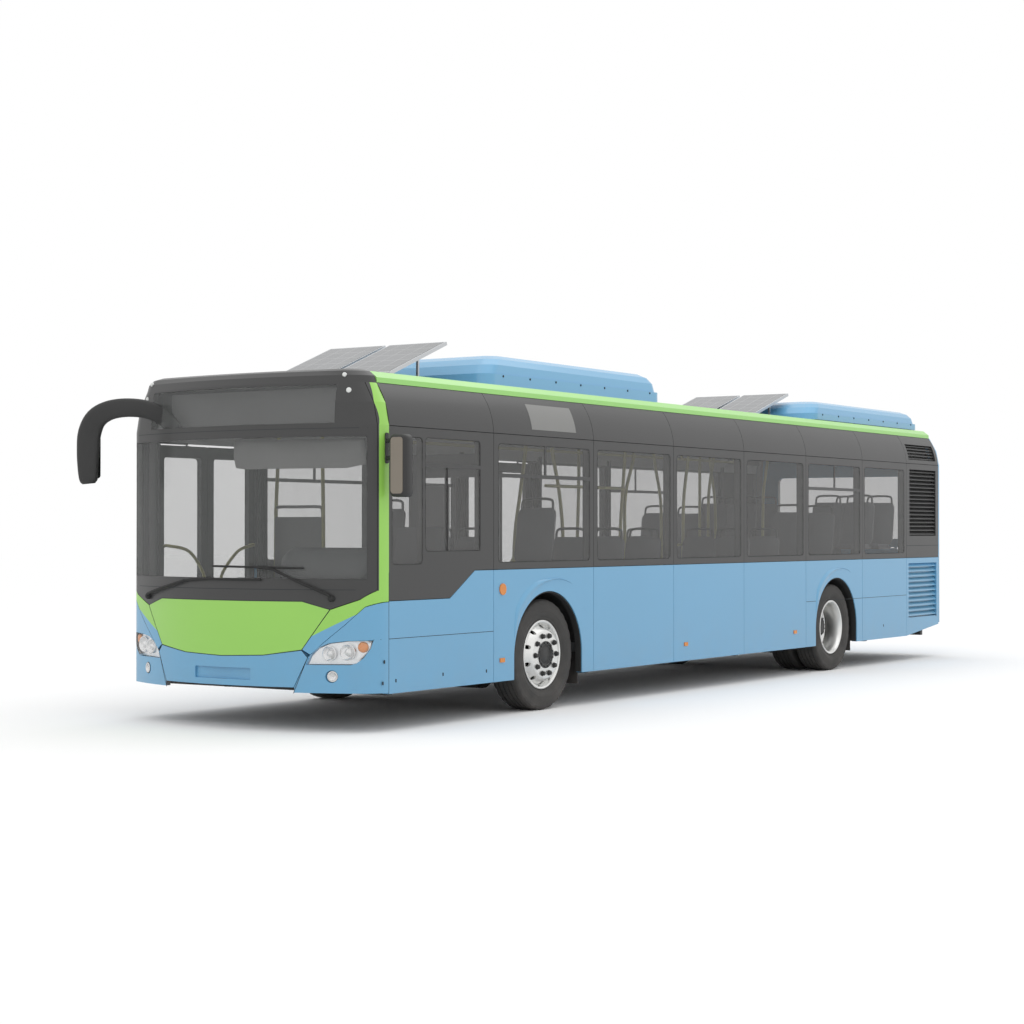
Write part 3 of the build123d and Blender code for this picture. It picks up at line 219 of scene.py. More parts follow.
# Inner trim: a mask of the faces that look into the saloon, so that a panel's inside takes the lining's tone
def makeInsideGroup():
    group, given, end = newGroup("innerTrim", (
        ("Colour", "Color", midGrey), ("Trim", "Color", (0.2, 0.2, 0.2, 1)),
    ), maskOutputs)
    place = objectPlace(group, (-900, -200))
    sideways = addNode(group, "SeparateXYZ", (-700, -200), {0: place}).outputs["Y"]
    normal = addNode(group, "NewGeometry", (-900, -450)).outputs["Normal"]
    facing = addNode(group, "SeparateXYZ", (-700, -450), {0: normal}).outputs["Y"]
    inwards = calculate(group, "MULTIPLY", (-500, -300), sideways, facing)
    inside = calculate(group, "LESS_THAN", (-330, -300), inwards, -0.55)
    feed(group, end, {"Colour": mixColour(group, (0, 100), inside, given["Colour"], given["Trim"]),
                      "Mask": inside})
    return group


paintFilm = makePaintGroup()
innerTrim = makeInsideGroup()
roadFilm = makeDustGroup()
mouldedGrain = makeGrainGroup()
brushing = makeBrushGroup()


def newMaterial(name):
    material = bpy.data.materials.new(name)
    material.use_nodes = True
    return material, material.node_tree, material.node_tree.nodes["Principled BSDF"]


def dress(tree, shader, colour, surface):
    feed(tree, shader, {"Base Color": colour, "Roughness": surface["Roughness"], "Normal": surface["Normal"]})


def paintedMetal(name, colour, rough=0.28, coat=0.6, drift=0.05, dust=0.12, trim=None):
    material, tree, shader = newMaterial(name)
    film = useGroup(tree, paintFilm, (-700, 100), Colour=colour, Drift=drift, Peel=0.25, Rough=rough)
    tone = film["Colour"]
    if trim:
        tone = useGroup(tree, innerTrim, (-550, 300), Colour=tone, Trim=trim)["Colour"]
    dirt = useGroup(tree, roadFilm, (-400, 200), Colour=tone, Amount=dust, Reach=0.9)
    dress(tree, shader, dirt["Colour"], film)
    feed(tree, shader, {"Coat Weight": coat, "Coat Roughness": 0.12})
    return material


def grained(name, colour, rough=0.5, scale=300, depth=0.25, fade=0.2, dust=0.0, metallic=0.0):
    material, tree, shader = newMaterial(name)
    grain = useGroup(tree, mouldedGrain, (-700, 100), Colour=colour, Scale=scale, Depth=depth, Fade=fade,
                     Rough=rough)
    dirt = useGroup(tree, roadFilm, (-400, 200), Colour=grain["Colour"], Amount=dust, Reach=1.1)
    dress(tree, shader, dirt["Colour"], grain)
    shader.inputs["Metallic"].default_value = metallic
    return material


def brushed(name, colour, along=(1, 60, 60), rough=0.22, depth=0.15):
    material, tree, shader = newMaterial(name)
    brush = useGroup(tree, brushing, (-500, 100), Colour=colour, Along=along, Depth=depth, Rough=rough)
    dress(tree, shader, brush["Colour"], brush)
    shader.inputs["Metallic"].default_value = 1
    return material


def glazing(name, colour, alpha):
    # a tinted pane that lets lamps and camera see through it
    material, tree, shader = newMaterial(name)
    film = useGroup(tree, paintFilm, (-500, 100), Colour=colour, Drift=0.25, Peel=0.02, Rough=0.03)
    feed(tree, shader, {"Base Color": film["Colour"], "Roughness": film["Roughness"], "Alpha": alpha})
    material.surface_render_method = "BLENDED"
    return material


# The front pillars: green, blue below a rising line, black beside the windscreen

pillar = {
    "lineRise": 0.516,       # how fast the paint line rises outwards
    "lineStart": 0.328,      # its height on the centre line
    "blackEdge": 1.254,      # how far out the black reaches
    "curlHeight": 2.36,      # where that edge starts to curl in
    "curlPower": 1.552,
    "curlReach": -0.618,
    "blackFoot": 1.09,
}


def pillarPaint(name, green, blue, black, trim):
    material, tree, shader = newMaterial(name)
    spot = addNode(tree, "SeparateXYZ", (-1340, 0), {0: objectPlace(tree, (-1500, 0))}).outputs
    across = calculate(tree, "ABSOLUTE", (-1180, 60), spot["Y"])
    line = calculate(tree, "MULTIPLY_ADD", (-1020, 60), across, pillar["lineRise"], pillar["lineStart"])
    below = calculate(tree, "LESS_THAN", (-860, 60), spot["Z"], line)
    rise = calculate(tree, "SUBTRACT", (-1180, -140), spot["Z"], pillar["curlHeight"])
    curl = calculate(tree, "MAXIMUM", (-1020, -140), rise, 0)
    bend = calculate(tree, "POWER", (-860, -140), curl, pillar["curlPower"])
    edge = calculate(tree, "MULTIPLY_ADD", (-700, -140), bend, pillar["curlReach"], pillar["blackEdge"])
    nearGlass = calculate(tree, "LESS_THAN", (-540, -140), across, edge)
    high = calculate(tree, "GREATER_THAN", (-540, -300), spot["Z"], pillar["blackFoot"])
    beside = calculate(tree, "MULTIPLY", (-380, -200), nearGlass, high)
    tone = mixColour(tree, (-540, 200), below, green, blue)
    tone = mixColour(tree, (-220, 200), beside, tone, black)
    film = useGroup(tree, paintFilm, (0, 200), Colour=tone, Drift=0.05, Peel=0.25, Rough=0.28)
    inside = useGroup(tree, innerTrim, (200, 300), Colour=film["Colour"], Trim=trim)
    dress(tree, shader, inside["Colour"], film)
    feed(tree, shader, {"Coat Weight": 0.3, "Coat Roughness": 0.12})
    return material


# Photovoltaic cells: dark squares between pale grid lines
def cells(name, colour, lines, size):
    material, tree, shader = newMaterial(name)
    brick = addNode(tree, "TexBrick", (-500, 0), {
        "Vector": objectPlace(tree, (-900, 0)), "Color1": colour,
        "Color2": [value * 1.12 for value in colour[:3]] + [1],
        "Mortar": lines, "Scale": 1 / size, "Mortar Size": 0.018, "Brick Width": 1, "Row Height": 1,
    }, offset=0.0, squash=1.0)
    film = useGroup(tree, paintFilm, (-250, 0), Colour=brick.outputs["Color"], Drift=0.12, Peel=0.02,
                    Rough=0.16)
    feed(tree, shader, {"Base Color": film["Colour"], "Roughness": film["Roughness"]})
    return material


greenTone = (152, 210, 92)
blueTone = (107, 168, 206)
blackTone = (58, 58, 58)
trim = fromScreen(122, 122, 121)     # the inside of the wall panels
lining = {"rough": 0.6, "scale": 380, "depth": 0.12, "fade": 0.08}
finishes = {
    # how it is made, its colour on a screen, and its own values
    "bluePaint": (paintedMetal, blueTone, {"coat": 0.4, "dust": 0.10, "trim": trim}),
    "greenPaint": (paintedMetal, greenTone, {"coat": 0.4, "dust": 0.03}),
    "railPaint": (paintedMetal, (150, 212, 112), {"coat": 0.2, "dust": 0}),
    "pillarPaint": (pillarPaint, greenTone, {
        "blue": fromScreen(*blueTone), "black": fromScreen(*blackTone), "trim": fromScreen(84, 84, 84)}),
    "blackBand": (paintedMetal, blackTone, {"rough": 0.36, "coat": 0.1, "drift": 0.10, "dust": 0,
                                            "trim": trim}),
    "roofWhite": (paintedMetal, (214, 216, 214), {"rough": 0.4, "coat": 0.1, "dust": 0}),
    "yellowRail": (paintedMetal, (168, 164, 104), {"rough": 0.3, "coat": 0.4, "dust": 0}),
    "tintedGlass": (glazing, (125, 125, 124), {"alpha": 0.258}),
    "doorGlass": (glazing, (125, 125, 124), {"alpha": 0.163}),
    "screenGlass": (glazing, (134, 136, 135), {"alpha": 0.195}),
    "lampCover": (glazing, (240, 242, 243), {"alpha": 0.07}),
    "lampSilver": (brushed, (244, 245, 246), {"along": (4, 30, 30), "rough": 0.28, "depth": 0.1}),
    "chrome": (brushed, (232, 232, 232), {"along": (3, 3, 3), "rough": 0.12, "depth": 0.02}),
    "solarFrame": (brushed, (206, 208, 210), {"along": (60, 1, 60), "rough": 0.3}),
    "rimMetal": (brushed, (238, 238, 236), {"along": (30, 30, 30), "rough": 0.26, "depth": 0.1}),
    "mirrorGlass": (brushed, (150, 152, 154), {"along": (2, 2, 2), "rough": 0.03, "depth": 0}),
    "solarCell": (cells, (104, 106, 108), {"lines": fromScreen(150, 151, 152), "size": 0.156}),
    "blackPlastic": (grained, blackTone, {"rough": 0.5, "scale": 420}),
    "rubberBlack": (grained, (40, 40, 40), {"rough": 0.7, "depth": 0.15}),
    "seamDark": (grained, (38, 44, 48), {"rough": 0.7, "depth": 0.1}),
    "blackMetal": (grained, (44, 44, 46), {"rough": 0.45, "scale": 120, "dust": 0.35, "metallic": 0.2}),
    "whiteLens": (grained, (226, 228, 226), {"rough": 0.25, "scale": 200, "depth": 0.3, "fade": 0.05}),
    "amberLens": (grained, (222, 138, 62), {"rough": 0.2, "scale": 180, "depth": 0.6}),
    "redLens": (grained, (170, 22, 18), {"rough": 0.2, "scale": 180, "depth": 0.6}),
    "displayGrey": (grained, (122, 122, 122), {"rough": 0.35, "scale": 60, "depth": 0.05, "fade": 0.12}),
    "displayPale": (grained, (128, 128, 126), {"rough": 0.35, "scale": 60, "depth": 0.05, "fade": 0.10}),
    "engineCast": (grained, (96, 96, 98), {"rough": 0.6, "scale": 60, "depth": 0.5, "dust": 0.3,
                                           "metallic": 0.6}),
    "floorVinyl": (grained, (98, 100, 102), {"rough": 0.6, "scale": 900, "depth": 0.15, "fade": 0.1}),
    "cabPlastic": (grained, (82, 83, 84), {"rough": 0.55, "scale": 380}),
    "trimGrey": (grained, (128, 128, 128), lining),
    "liningGrey": (grained, (176, 177, 176), lining),
    "blindGrey": (grained, (120, 120, 119), lining),
    "seatShell": (grained, (92, 93, 96), {"scale": 380}),
    "seatCloth": (grained, (104, 106, 112), {"rough": 0.9, "scale": 1400, "depth": 0.5, "fade": 0.25}),
    "handleBlack": (grained, (48, 48, 48), {"rough": 0.45, "scale": 500, "depth": 0.15}),
    "tyreRubber": (grained, (64, 63, 62), {"rough": 0.75, "scale": 90, "depth": 0.3, "fade": 0.35,
                                           "dust": 0.15}),
    "hubMetal": (grained, (62, 62, 62), {"rough": 0.42, "scale": 120, "metallic": 0.3}),
    "mirrorShell": (grained, (46, 46, 46), {"rough": 0.42, "scale": 500, "depth": 0.2}),
    "mirrorTaupe": (grained, (130, 122, 110), {"rough": 0.4, "depth": 0.1, "fade": 0.1}),
}
materials = {name: make(name, fromScreen(*tone), **values) for name, (make, tone, values) in finishes.items()}
print("materials made:", len(materials))


# Which finish each node keeps

def namesWith(*ends):
    return tuple(name for name in nodes if name.endswith(ends))


nodeFinish = {
    "bluePaint": ("front_bumper", "front_corners", "left_lower_panels", "right_lower_panels", "rear_wall",
                  "engine_lid", "roof_pods"),
    "greenPaint": ("front_hood",),
    "pillarPaint": ("front_pillars",),
    "railPaint": ("roof_rails",),
    "blackBand": ("front_mask", "left_window_band", "right_window_band"),
    "screenGlass": ("windscreen",),
    "tintedGlass": ("window_glass",),
    "doorGlass": tuple(name for name in namesWith("_glass") if "door" in name),
    "blackPlastic": ("wipers",) + namesWith("_leaf"),
    "blackMetal": ("front_axle", "rear_axle", "underframe", "body_posts", "left_knuckle", "right_knuckle",
                   "track_rod") + namesWith("_arm"),
    "amberLens": ("signal_lamps",),
    "roofWhite": ("roof_skin", "roof_hatch"),
    "solarFrame": ("solar_arrays",),
    "engineCast": ("engine_block",),
    "floorVinyl": ("floor_deck", "wheel_boxes"),
    "cabPlastic": ("dashboard", "cab_partition"),
    "seatShell": ("driver_seat", "passenger_seats"),
    "yellowRail": ("handrails",),
    "mirrorShell": ("mirrors",),
    "lampCover": ("headlamps",),
    "tyreRubber": namesWith("_tyre", "_tyres"),
    "rimMetal": namesWith("_rim", "_rims"),
}
for finish, names in nodeFinish.items():
    for name in names:
        nodes[name].data.materials.clear()
        nodes[name].data.materials.append(materials[finish])
print("node finishes set:", sum(len(names) for names in nodeFinish.values()))


# Shape helpers: each adds faces to a bmesh, and finishShape turns it into a piece that rides a body

def finishShape(name, shape, finish, body="bus", smooth=35):
    bmesh.ops.recalc_face_normals(shape, faces=shape.faces)
    mesh = bpy.data.meshes.new(name)
    shape.to_mesh(mesh)
    shape.free()
    mesh.materials.append(materials[finish])
    mesh.shade_smooth()
    mesh.set_sharp_from_angle(angle=math.radians(smooth))
    piece = bpy.data.objects.new(name, mesh)
    bpy.context.scene.collection.objects.link(piece)
    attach(piece, body)
    return piece


def addBox(shape, low, high, bevel=0.003):
    spots = [shape.verts.new(corner) for corner in product(*zip(low, high))]
    sides = ((0, 1, 3, 2), (4, 6, 7, 5), (0, 4, 5, 1), (2, 3, 7, 6), (0, 2, 6, 4), (1, 5, 7, 3))
    faces = [shape.faces.new([spots[i] for i in side]) for side in sides]
    edges = {edge for face in faces for edge in face.edges}
    bmesh.ops.bevel(shape, geom=list(edges), offset=bevel, segments=2, affect="EDGES", clamp_overlap=True)


def addBands(shape, rings, loop=False):
    # quads between rings of points that each have the same count
    rows = [[shape.verts.new(point) for point in ring] for ring in rings]
    pairs = list(zip(rows, rows[1:])) + ([(rows[-1], rows[0])] if loop else [])
    for here, there in pairs:
        for i in range(len(here)):
            j = (i + 1) % len(here)
            shape.faces.new((here[i], here[j], there[j], there[i]))
    return rows


def addSolid(shape, rings):
    rows = addBands(shape, rings)
    shape.faces.new(rows[0])
    shape.faces.new(list(reversed(rows[-1])))


def addPlate(shape, outline, place, depth):
    # an outline in (u, v) given a thickness; place turns (u, v, w) into a point
    addSolid(shape, [[place(u, v, w) for u, v in outline] for w in (0, depth)])


def addStrip(shape, u0, u1, v0, v1, place, depth):
    addPlate(shape, [(u0, v0), (u0, v1), (u1, v1), (u1, v0)], place, depth)


def addFrame(shape, outer, inner, place, depth):
    corners = ((outer, 0), (outer, depth), (inner, depth), (inner, 0))
    addBands(shape, [[place(u, v, w) for u, v in outline] for outline, w in corners], loop=True)


def rounded(u0, u1, v0, v1, radius, steps=5):
    outline = []
    for cu, cv, start in ((u1 - radius, v1 - radius, 0), (u0 + radius, v1 - radius, 90),
                          (u0 + radius, v0 + radius, 180), (u1 - radius, v0 + radius, 270)):
        for step in range(steps + 1):
            angle = math.radians(start + 90 * step / steps)
            outline.append((cu + radius * math.cos(angle), cv + radius * math.sin(angle)))
    return outline


def onSide(side, skin):
    # u along the bus, v up, w outwards from a plane of one side
    return lambda u, v, w: (u, side * (skin + w), v)


def acrossAt(x, turn=1):
    # u across the bus, v up, w forwards from x, or backwards with a turn of -1
    return lambda u, v, w: (x + turn * w, u, v)


def smoothPath(points, steps=6):
    points = [Vector(point) for point in points]
    padded = [2 * points[0] - points[1]] + points + [2 * points[-1] - points[-2]]
    path = []
    for a, b, c, d in zip(padded, padded[1:], padded[2:], padded[3:]):
        for step in range(steps):
            t = step / steps
            curve = (2 * a - 5 * b + 4 * c - d) * t**2 + (3 * b - a - 3 * c + d) * t**3
            path.append(0.5 * (2 * b + (c - a) * t + curve))
    return path + [points[-1]]


def turns(count, offset=0.0):
    # the cosine and sine of evenly spaced angles
    angles = [2 * math.pi * (i + offset) / count for i in range(count)]
    return [(math.cos(angle), math.sin(angle)) for angle in angles]


def pathDirection(path, i):
    return (path[min(i + 1, len(path) - 1)] - path[max(i - 1, 0)]).normalized()


def addTube(shape, path, radius, sides=10, up=(0.12, 0.2, 1)):
    path = [Vector(point) for point in path]
    rings = []
    for i, point in enumerate(path):
        along = pathDirection(path, i)
        across = along.cross(Vector(up)).normalized()
        upright = across.cross(along).normalized()
        rings.append([point + radius * (c * across + s * upright) for c, s in turns(sides)])
    addSolid(shape, rings)


def addLathe(shape, profile, centre, axis, segments=64, loop=True, notch=None):
    # profile rows are distance along the axis and radius; notch may change a radius by its segment
    axis = Vector(axis).normalized()
    right = axis.orthogonal().normalized()
    upright = axis.cross(right)
    rows = []
    for segment, (c, s) in enumerate(turns(segments)):
        outwards = c * right + s * upright
        rows.append([])
        for i, (along, radius) in enumerate(profile):
            cut = notch(i, segment) if notch else 0
            rows[-1].append(shape.verts.new(Vector(centre) + along * axis + (radius - cut) * outwards))
    count = len(profile)
    for i in range(segments):
        here, there = rows[i], rows[(i + 1) % segments]
        for j in range(count if loop else count - 1):
            k = (j + 1) % count
            shape.faces.new((here[j], here[k], there[k], there[j]))
    if not loop:
        shape.faces.new([row[0] for row in rows])
        shape.faces.new([row[-1] for row in reversed(rows)])


# The nose's outer face, from the same sections as the solids
noseStages = (
    # height, half width, lean back of the middle
    (0.305, 1.275, 0.0), (1.1, 1.275, 0.0), (2.36, 1.275, 0.085), (2.535, 1.24, 0.096), (2.69, 1.155, 0.115),
    (2.745, 1.138, 0.14), (2.782, 1.092, 0.185),
)
noseSize = {"frontX": 5.9, "cornerBack": 0.473, "cornerRadius": 0.21}


def noseX(y, z, inset=0.0):
    z = min(max(z, noseStages[0][0]), noseStages[-1][0])
    for (z0, half0, lean0), (z1, half1, lean1) in zip(noseStages, noseStages[1:]):
        if z <= z1:
            share = (z - z0) / (z1 - z0)
            half = half0 + share * (half1 - half0)
            lean = lean0 + share * (lean1 - lean0)
            break
    corner = noseSize["cornerRadius"]
    depth = noseSize["cornerBack"] - lean
    radius = (depth**2 + half**2 - 2 * half * corner) / (2 * (depth - corner))
    centreX = noseSize["frontX"] - lean - radius
    cornerX = noseSize["frontX"] - noseSize["cornerBack"]
    tilt = math.atan2(half - corner, cornerX - centreX)
    if abs(y) < half - corner + (corner - inset) * math.sin(tilt):
        return centreX + math.sqrt((radius - inset) ** 2 - y**2)
    return cornerX + math.sqrt(max(0, (corner - inset) ** 2 - (abs(y) - half + corner) ** 2))


def addNosePatch(shape, outline, inset, thickness, step=0.06):
    # a shell that follows the nose, cut to an outline in (y, z)
    spots = [Vector(point) for point in outline]
    count = len(spots)
    edges = [(i, (i + 1) % count) for i in range(count)]
    ys = [point.x for point in spots]
    zs = [point.y for point in spots]
    for i in range(1, int((max(ys) - min(ys)) / step) + 1):
        for j in range(1, int((max(zs) - min(zs)) / step) + 1):
            spots.append(Vector((min(ys) + i * step, min(zs) + j * step)))
    flat, _, triangles = delaunay_2d_cdt(spots, edges, [], 1, 1e-5)[:3]
    used = sorted({i for triangle in triangles for i in triangle})
    for depth, flip in ((inset, False), (inset + thickness, True)):
        verts = {i: shape.verts.new((noseX(flat[i].x, flat[i].y, depth), flat[i].x, flat[i].y)) for i in used}
        for triangle in triangles:
            corners = [verts[i] for i in triangle]
            shape.faces.new(list(reversed(corners)) if flip else corners)
        if not flip:
            front = verts
    borders = dict.fromkeys(
        pair for triangle in triangles for pair in zip(triangle, triangle[1:] + triangle[:1]))
    for a, b in borders:
        if (b, a) not in borders:
            shape.faces.new((front[b], front[a], verts[a], verts[b]))


# Tyres: sidewalls with moulded rings, a ribbed tread and notched shoulders

axleHeight = 0.4785
frontAxle = 3.11
rearAxle = -2.9
tyre = {
    "radius": 0.4785,
    "grooveDepth": 0.011,
    "grooves": (-0.066, -0.022, 0.022, 0.066),   # middles of the four grooves across the tread
    "grooveWidth": 0.011,
    "segments": 120,
    "notchDepth": 0.007,
}
wheelSets = (
    # name of the rim and tyre nodes, axle, side, tyre centres, body
    ("front_left_rim", "front_left_tyre", frontAxle, 1, (1.092,), "front_left_wheel"),
    ("front_right_rim", "front_right_tyre", frontAxle, -1, (1.092,), "front_right_wheel"),
    ("rear_left_rims", "rear_left_tyres", rearAxle, 1, (1.092, 0.781), "rear_left_wheels"),
    ("rear_right_rims", "rear_right_tyres", rearAxle, -1, (1.092, 0.781), "rear_right_wheels"),
)


def tyreProfile():
    side = [(0.0968, 0.2868), (0.0985, 0.3015), (0.112, 0.306), (0.118, 0.318), (0.1185, 0.322),
            (0.127, 0.334), (0.1345, 0.352), (0.1372, 0.368), (0.1355, 0.371), (0.1378, 0.374),
            (0.1378, 0.396), (0.1362, 0.399), (0.1362, 0.402), (0.1325, 0.424), (0.1290, 0.440),
            (0.1298, 0.446), (0.1265, 0.456), (0.1225, 0.4665), (0.1120, 0.4735), (0.1, 0.4772)]
    tread = []
    for middle in tyre["grooves"]:
        half = tyre["grooveWidth"] / 2
        floor = tyre["radius"] - tyre["grooveDepth"]
        tread += [(middle - half, tyre["radius"] - 0.0003), (middle - half + 0.002, floor),
                  (middle + half - 0.002, floor), (middle + half, tyre["radius"] - 0.0003)]
    tread = [(-along, radius) for along, radius in tread]
    return side + tread + [(-along, radius) for along, radius in reversed(side)]


def makeTyres():
    profile = tyreProfile()
    shoulder = {16, 17, 18, len(profile) - 17, len(profile) - 18, len(profile) - 19}    # rows of the profile

    def notch(i, segment):
        return tyre["notchDepth"] if i in shoulder and segment % 4 == 0 else 0

    for rimNode, tyreNode, axleX, side, centres, body in wheelSets:
        shape = bmesh.new()
        for y in centres:
            addLathe(shape, profile, (axleX, side * y, axleHeight), (0, side, 0), tyre["segments"],
                     notch=notch)
        piece = finishShape(tyreNode + "Moulded", shape, "tyreRubber", body, smooth=28)
        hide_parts(tyreNode)
    print("tyres moulded")


makeTyres()


# Rims: a spun barrel and disc with ten hand holes on the slope, wheel nuts and a dark hub

rim = {
    "handHoles": 10,
    "handHoleRadius": 0.0185,
    "handHoleCircle": 0.240,
    "nuts": 10,
    "nutCircle": 0.1675,
    "nutRadius": 0.021,
    "frontDisc": 0.148,     # outer face of the disc from the tyre's middle
    "rearDisc": -0.1555,
    # sections as distance out and radius
    "washer": ((0, 0.0245), (0.002, 0.0245), (0.003, 0.023), (0.003, 0.002), (0, 0.002)),
    "nutDome": ((0.018, 0.0165), (0.024, 0.0155), (0.027, 0.011)),
    # a hub's section, the circle of its bolts and how far out they stand
    "frontHub": (((-0.035, 0.117), (0.003, 0.117), (0.006, 0.112), (0.005, 0.096), (-0.006, 0.090),
                  (-0.008, 0.075), (-0.003, 0.066), (-0.002, 0.004)), 0.104, 0.004),
    "rearHub": (((-0.03, 0.138), (0.006, 0.138), (0.012, 0.130), (0.014, 0.118), (0.128, 0.104),
                 (0.140, 0.094), (0.142, 0.070), (0.150, 0.064), (0.151, 0.004)), 0.082, 0.139),
}


def rimProfiles(front):
    barrel = [(-0.113, 0.298), (-0.116, 0.292), (-0.113, 0.280), (-0.096, 0.268), (-0.04, 0.252),
              (0.07, 0.258), (0.096, 0.268), (0.113, 0.279), (0.116, 0.291), (0.113, 0.298), (0.104, 0.298),
              (0.0985, 0.289), (0.06, 0.272), (-0.04, 0.266), (-0.0985, 0.289), (-0.104, 0.298)]
    if front:
        face = rim["frontDisc"]
        disc = [(face - 0.014, 0.092), (face - 0.014, 0.198), (face - 0.022, 0.210), (0.050, 0.262),
                (0.050, 0.268), (0.068, 0.268), (face - 0.016, 0.224), (face - 0.005, 0.212),
                (face - 0.001, 0.206), (face, 0.198), (face, 0.092)]
    else:
        middle = rim["rearDisc"]
        disc = [(-0.014, 0.092), (-0.014, 0.196), (-0.005, 0.236), (0.062, 0.268), (0.078, 0.264),
                (0.060, 0.252), (0.014, 0.214), (0.008, 0.2), (0.008, 0.092)]
        disc = [(middle + along, radius) for along, radius in disc]
    return barrel, disc


def roundAxle(centre, radius, count, offset=0.0):
    # evenly spaced spots on a circle that faces sideways
    return [centre + radius * Vector((c, 0, s)) for c, s in turns(count, offset)]


def addHexagon(shape, spot, side, radius, depth):
    outline = [(radius * c, radius * s) for c, s in turns(6)]
    addPlate(shape, outline, lambda u, v, w: spot + Vector((u, side * w, v)), depth)


def cutHandHoles(plate, centre, axis):
    shape = bmesh.new()
    reach = ((-0.3, rim["handHoleRadius"]), (0.2, rim["handHoleRadius"]))
    for spot in roundAxle(centre, rim["handHoleCircle"], rim["handHoles"], 0.5):
        addLathe(shape, reach, spot, axis, 20, loop=False)
    bmesh.ops.recalc_face_normals(shape, faces=shape.faces)
    mesh = bpy.data.meshes.new("handHoleCutter")
    shape.to_mesh(mesh)
    shape.free()
    cutter = bpy.data.objects.new("handHoleCutter", mesh)
    bpy.context.scene.collection.objects.link(cutter)
    holes = plate.modifiers.new("handHoles", "BOOLEAN")
    holes.object = cutter
    holes.solver = "EXACT"
    bpy.context.view_layer.update()
    cut = bpy.data.meshes.new_from_object(plate.evaluated_get(bpy.context.evaluated_depsgraph_get()))
    plate.modifiers.clear()
    plate.data = cut
    bpy.data.objects.remove(cutter)


def makeRims():
    for rimNode, tyreNode, axleX, side, centres, body in wheelSets:
        front = len(centres) == 1
        barrel, disc = rimProfiles(front)
        centre = Vector((axleX, side * centres[0], axleHeight))
        axis = Vector((0, side, 0))
        shape = bmesh.new()
        addLathe(shape, disc, centre, axis, 80)
        plate = finishShape(rimNode + "Disc", shape, "rimMetal", body, smooth=32)
        cutHandHoles(plate, centre, axis)

        shape = bmesh.new()
        for y in centres:
            addLathe(shape, barrel, (axleX, side * y, axleHeight), axis, 80)
        piece = finishShape(rimNode + "Barrel", shape, "rimMetal", body, smooth=32)
        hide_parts(rimNode)

        face = rim["frontDisc"] + 0.001 if front else rim["rearDisc"] + 0.008
        shape = bmesh.new()
        for spot in roundAxle(centre + face * axis, rim["nutCircle"], rim["nuts"]):
            addLathe(shape, rim["washer"], spot, axis, 20)
            addHexagon(shape, spot, side, rim["nutRadius"], 0.018)
            addLathe(shape, rim["nutDome"], spot, axis, 16, loop=False)
        finishShape(rimNode + "Nuts", shape, "hubMetal", body)

        shape = bmesh.new()
        hub, boltCircle, boltFace = rim["frontHub"] if front else rim["rearHub"]
        addLathe(shape, [(face + along, radius) for along, radius in hub], centre, axis, 64, loop=False)
        for spot in roundAxle(centre + (face + boltFace) * axis, boltCircle, 12, 0.5):
            addHexagon(shape, spot, side, 0.0085, 0.009)
        finishShape(rimNode + "Hub", shape, "hubMetal", body)
    print("rims, nuts and hubs made")


makeRims()


# Wheel arches: a dark liner in each, and a pressed flare above it

arch = {
    "radius": 0.549,
    # axle, half length and height of each liner
    "tunnels": ((frontAxle, 0.632, 0.574), (rearAxle, 0.560, 0.560)),
    "innerY": 0.66,
    "outerY": 1.214,
    "lipDepth": 0.052,
    "low": -0.1785,          # the foot, from the axle
    "flareSkin": 1.2752,
    "flareOut": 0.015,
    "flareTurns": (18, 106),    # degrees where the flare starts, and how far it goes round
    "flareSteps": 34,
    "flareRows": 8,
}


def archOutline(half, rise, steps=28):
    curve = [math.pi * i / steps for i in range(steps + 1)]
    low = arch["low"]
    top = [(-half * math.cos(turn), rise * math.sin(turn)) for turn in curve]
    return [(-half, low)] + top + [(half, low)]


def archBand(half, rise, thickness):
    return archOutline(half, rise) + list(reversed(archOutline(half - thickness, rise - thickness)))


def flareSpots(i):
    # distance and swell of each point across the pressed flare, at one step round it
    share = i / arch["flareSteps"]
    outer = 0.645 + 0.03 * math.sin(math.pi * min(1, share * 1.5)) + 0.19 * max(0, share - 0.5) ** 1.6
    inner = 0.558 + 0.262 * max(0, share - 0.32) ** 1.25
    width = max(0.004, (outer - inner) * (0.25 + 0.75 * min(1, share * 5)))
    ends = math.sin(math.pi * min(1, share + 0.02)) ** 0.6
    for j in range(arch["flareRows"] + 1):
        across = j / arch["flareRows"]
        yield inner + width * across, arch["flareOut"] * math.sin(math.pi * across**1.6) ** 1.3 * ends


def fromAxle(axleX, side, y):
    # u along the bus, v up from the axle, w outwards from y
    return lambda u, v, w: (axleX + u, side * (y + w), axleHeight + v)


def makeArches():
    shape = bmesh.new()
    lipRadius = arch["radius"] + 0.0008
    for axleX, half, rise in arch["tunnels"]:
        for side in (1, -1):
            tunnel = fromAxle(axleX, side, arch["innerY"])
            addPlate(shape, archBand(half, rise, 0.006), tunnel, arch["outerY"] - arch["innerY"])
            lip = fromAxle(axleX, side, arch["outerY"])
            addPlate(shape, archBand(lipRadius, lipRadius, 0.0128), lip, arch["lipDepth"])
    finishShape("archLiners", shape, "rubberBlack")

    shape = bmesh.new()
    start, sweep = arch["flareTurns"]
    for axleX in (frontAxle, rearAxle):
        for side in (1, -1):
            bands = []
            for i in range(arch["flareSteps"] + 1):
                turn = math.radians(start + sweep * i / arch["flareSteps"])
                bands.append([shape.verts.new((
                    axleX + radius * math.cos(turn), side * (arch["flareSkin"] + swell),
                    axleHeight + radius * math.sin(turn))) for radius, swell in flareSpots(i)])
            for here, there in zip(bands, bands[1:]):
                for j in range(arch["flareRows"]):
                    shape.faces.new((here[j], here[j + 1], there[j + 1], there[j]))
    finishShape("archFlares", shape, "bluePaint", smooth=60)
    print("arches lined")


makeArches()


# Headlamps: a bright pan with two bowls and an indicator behind the clear cover, and fog lamps below

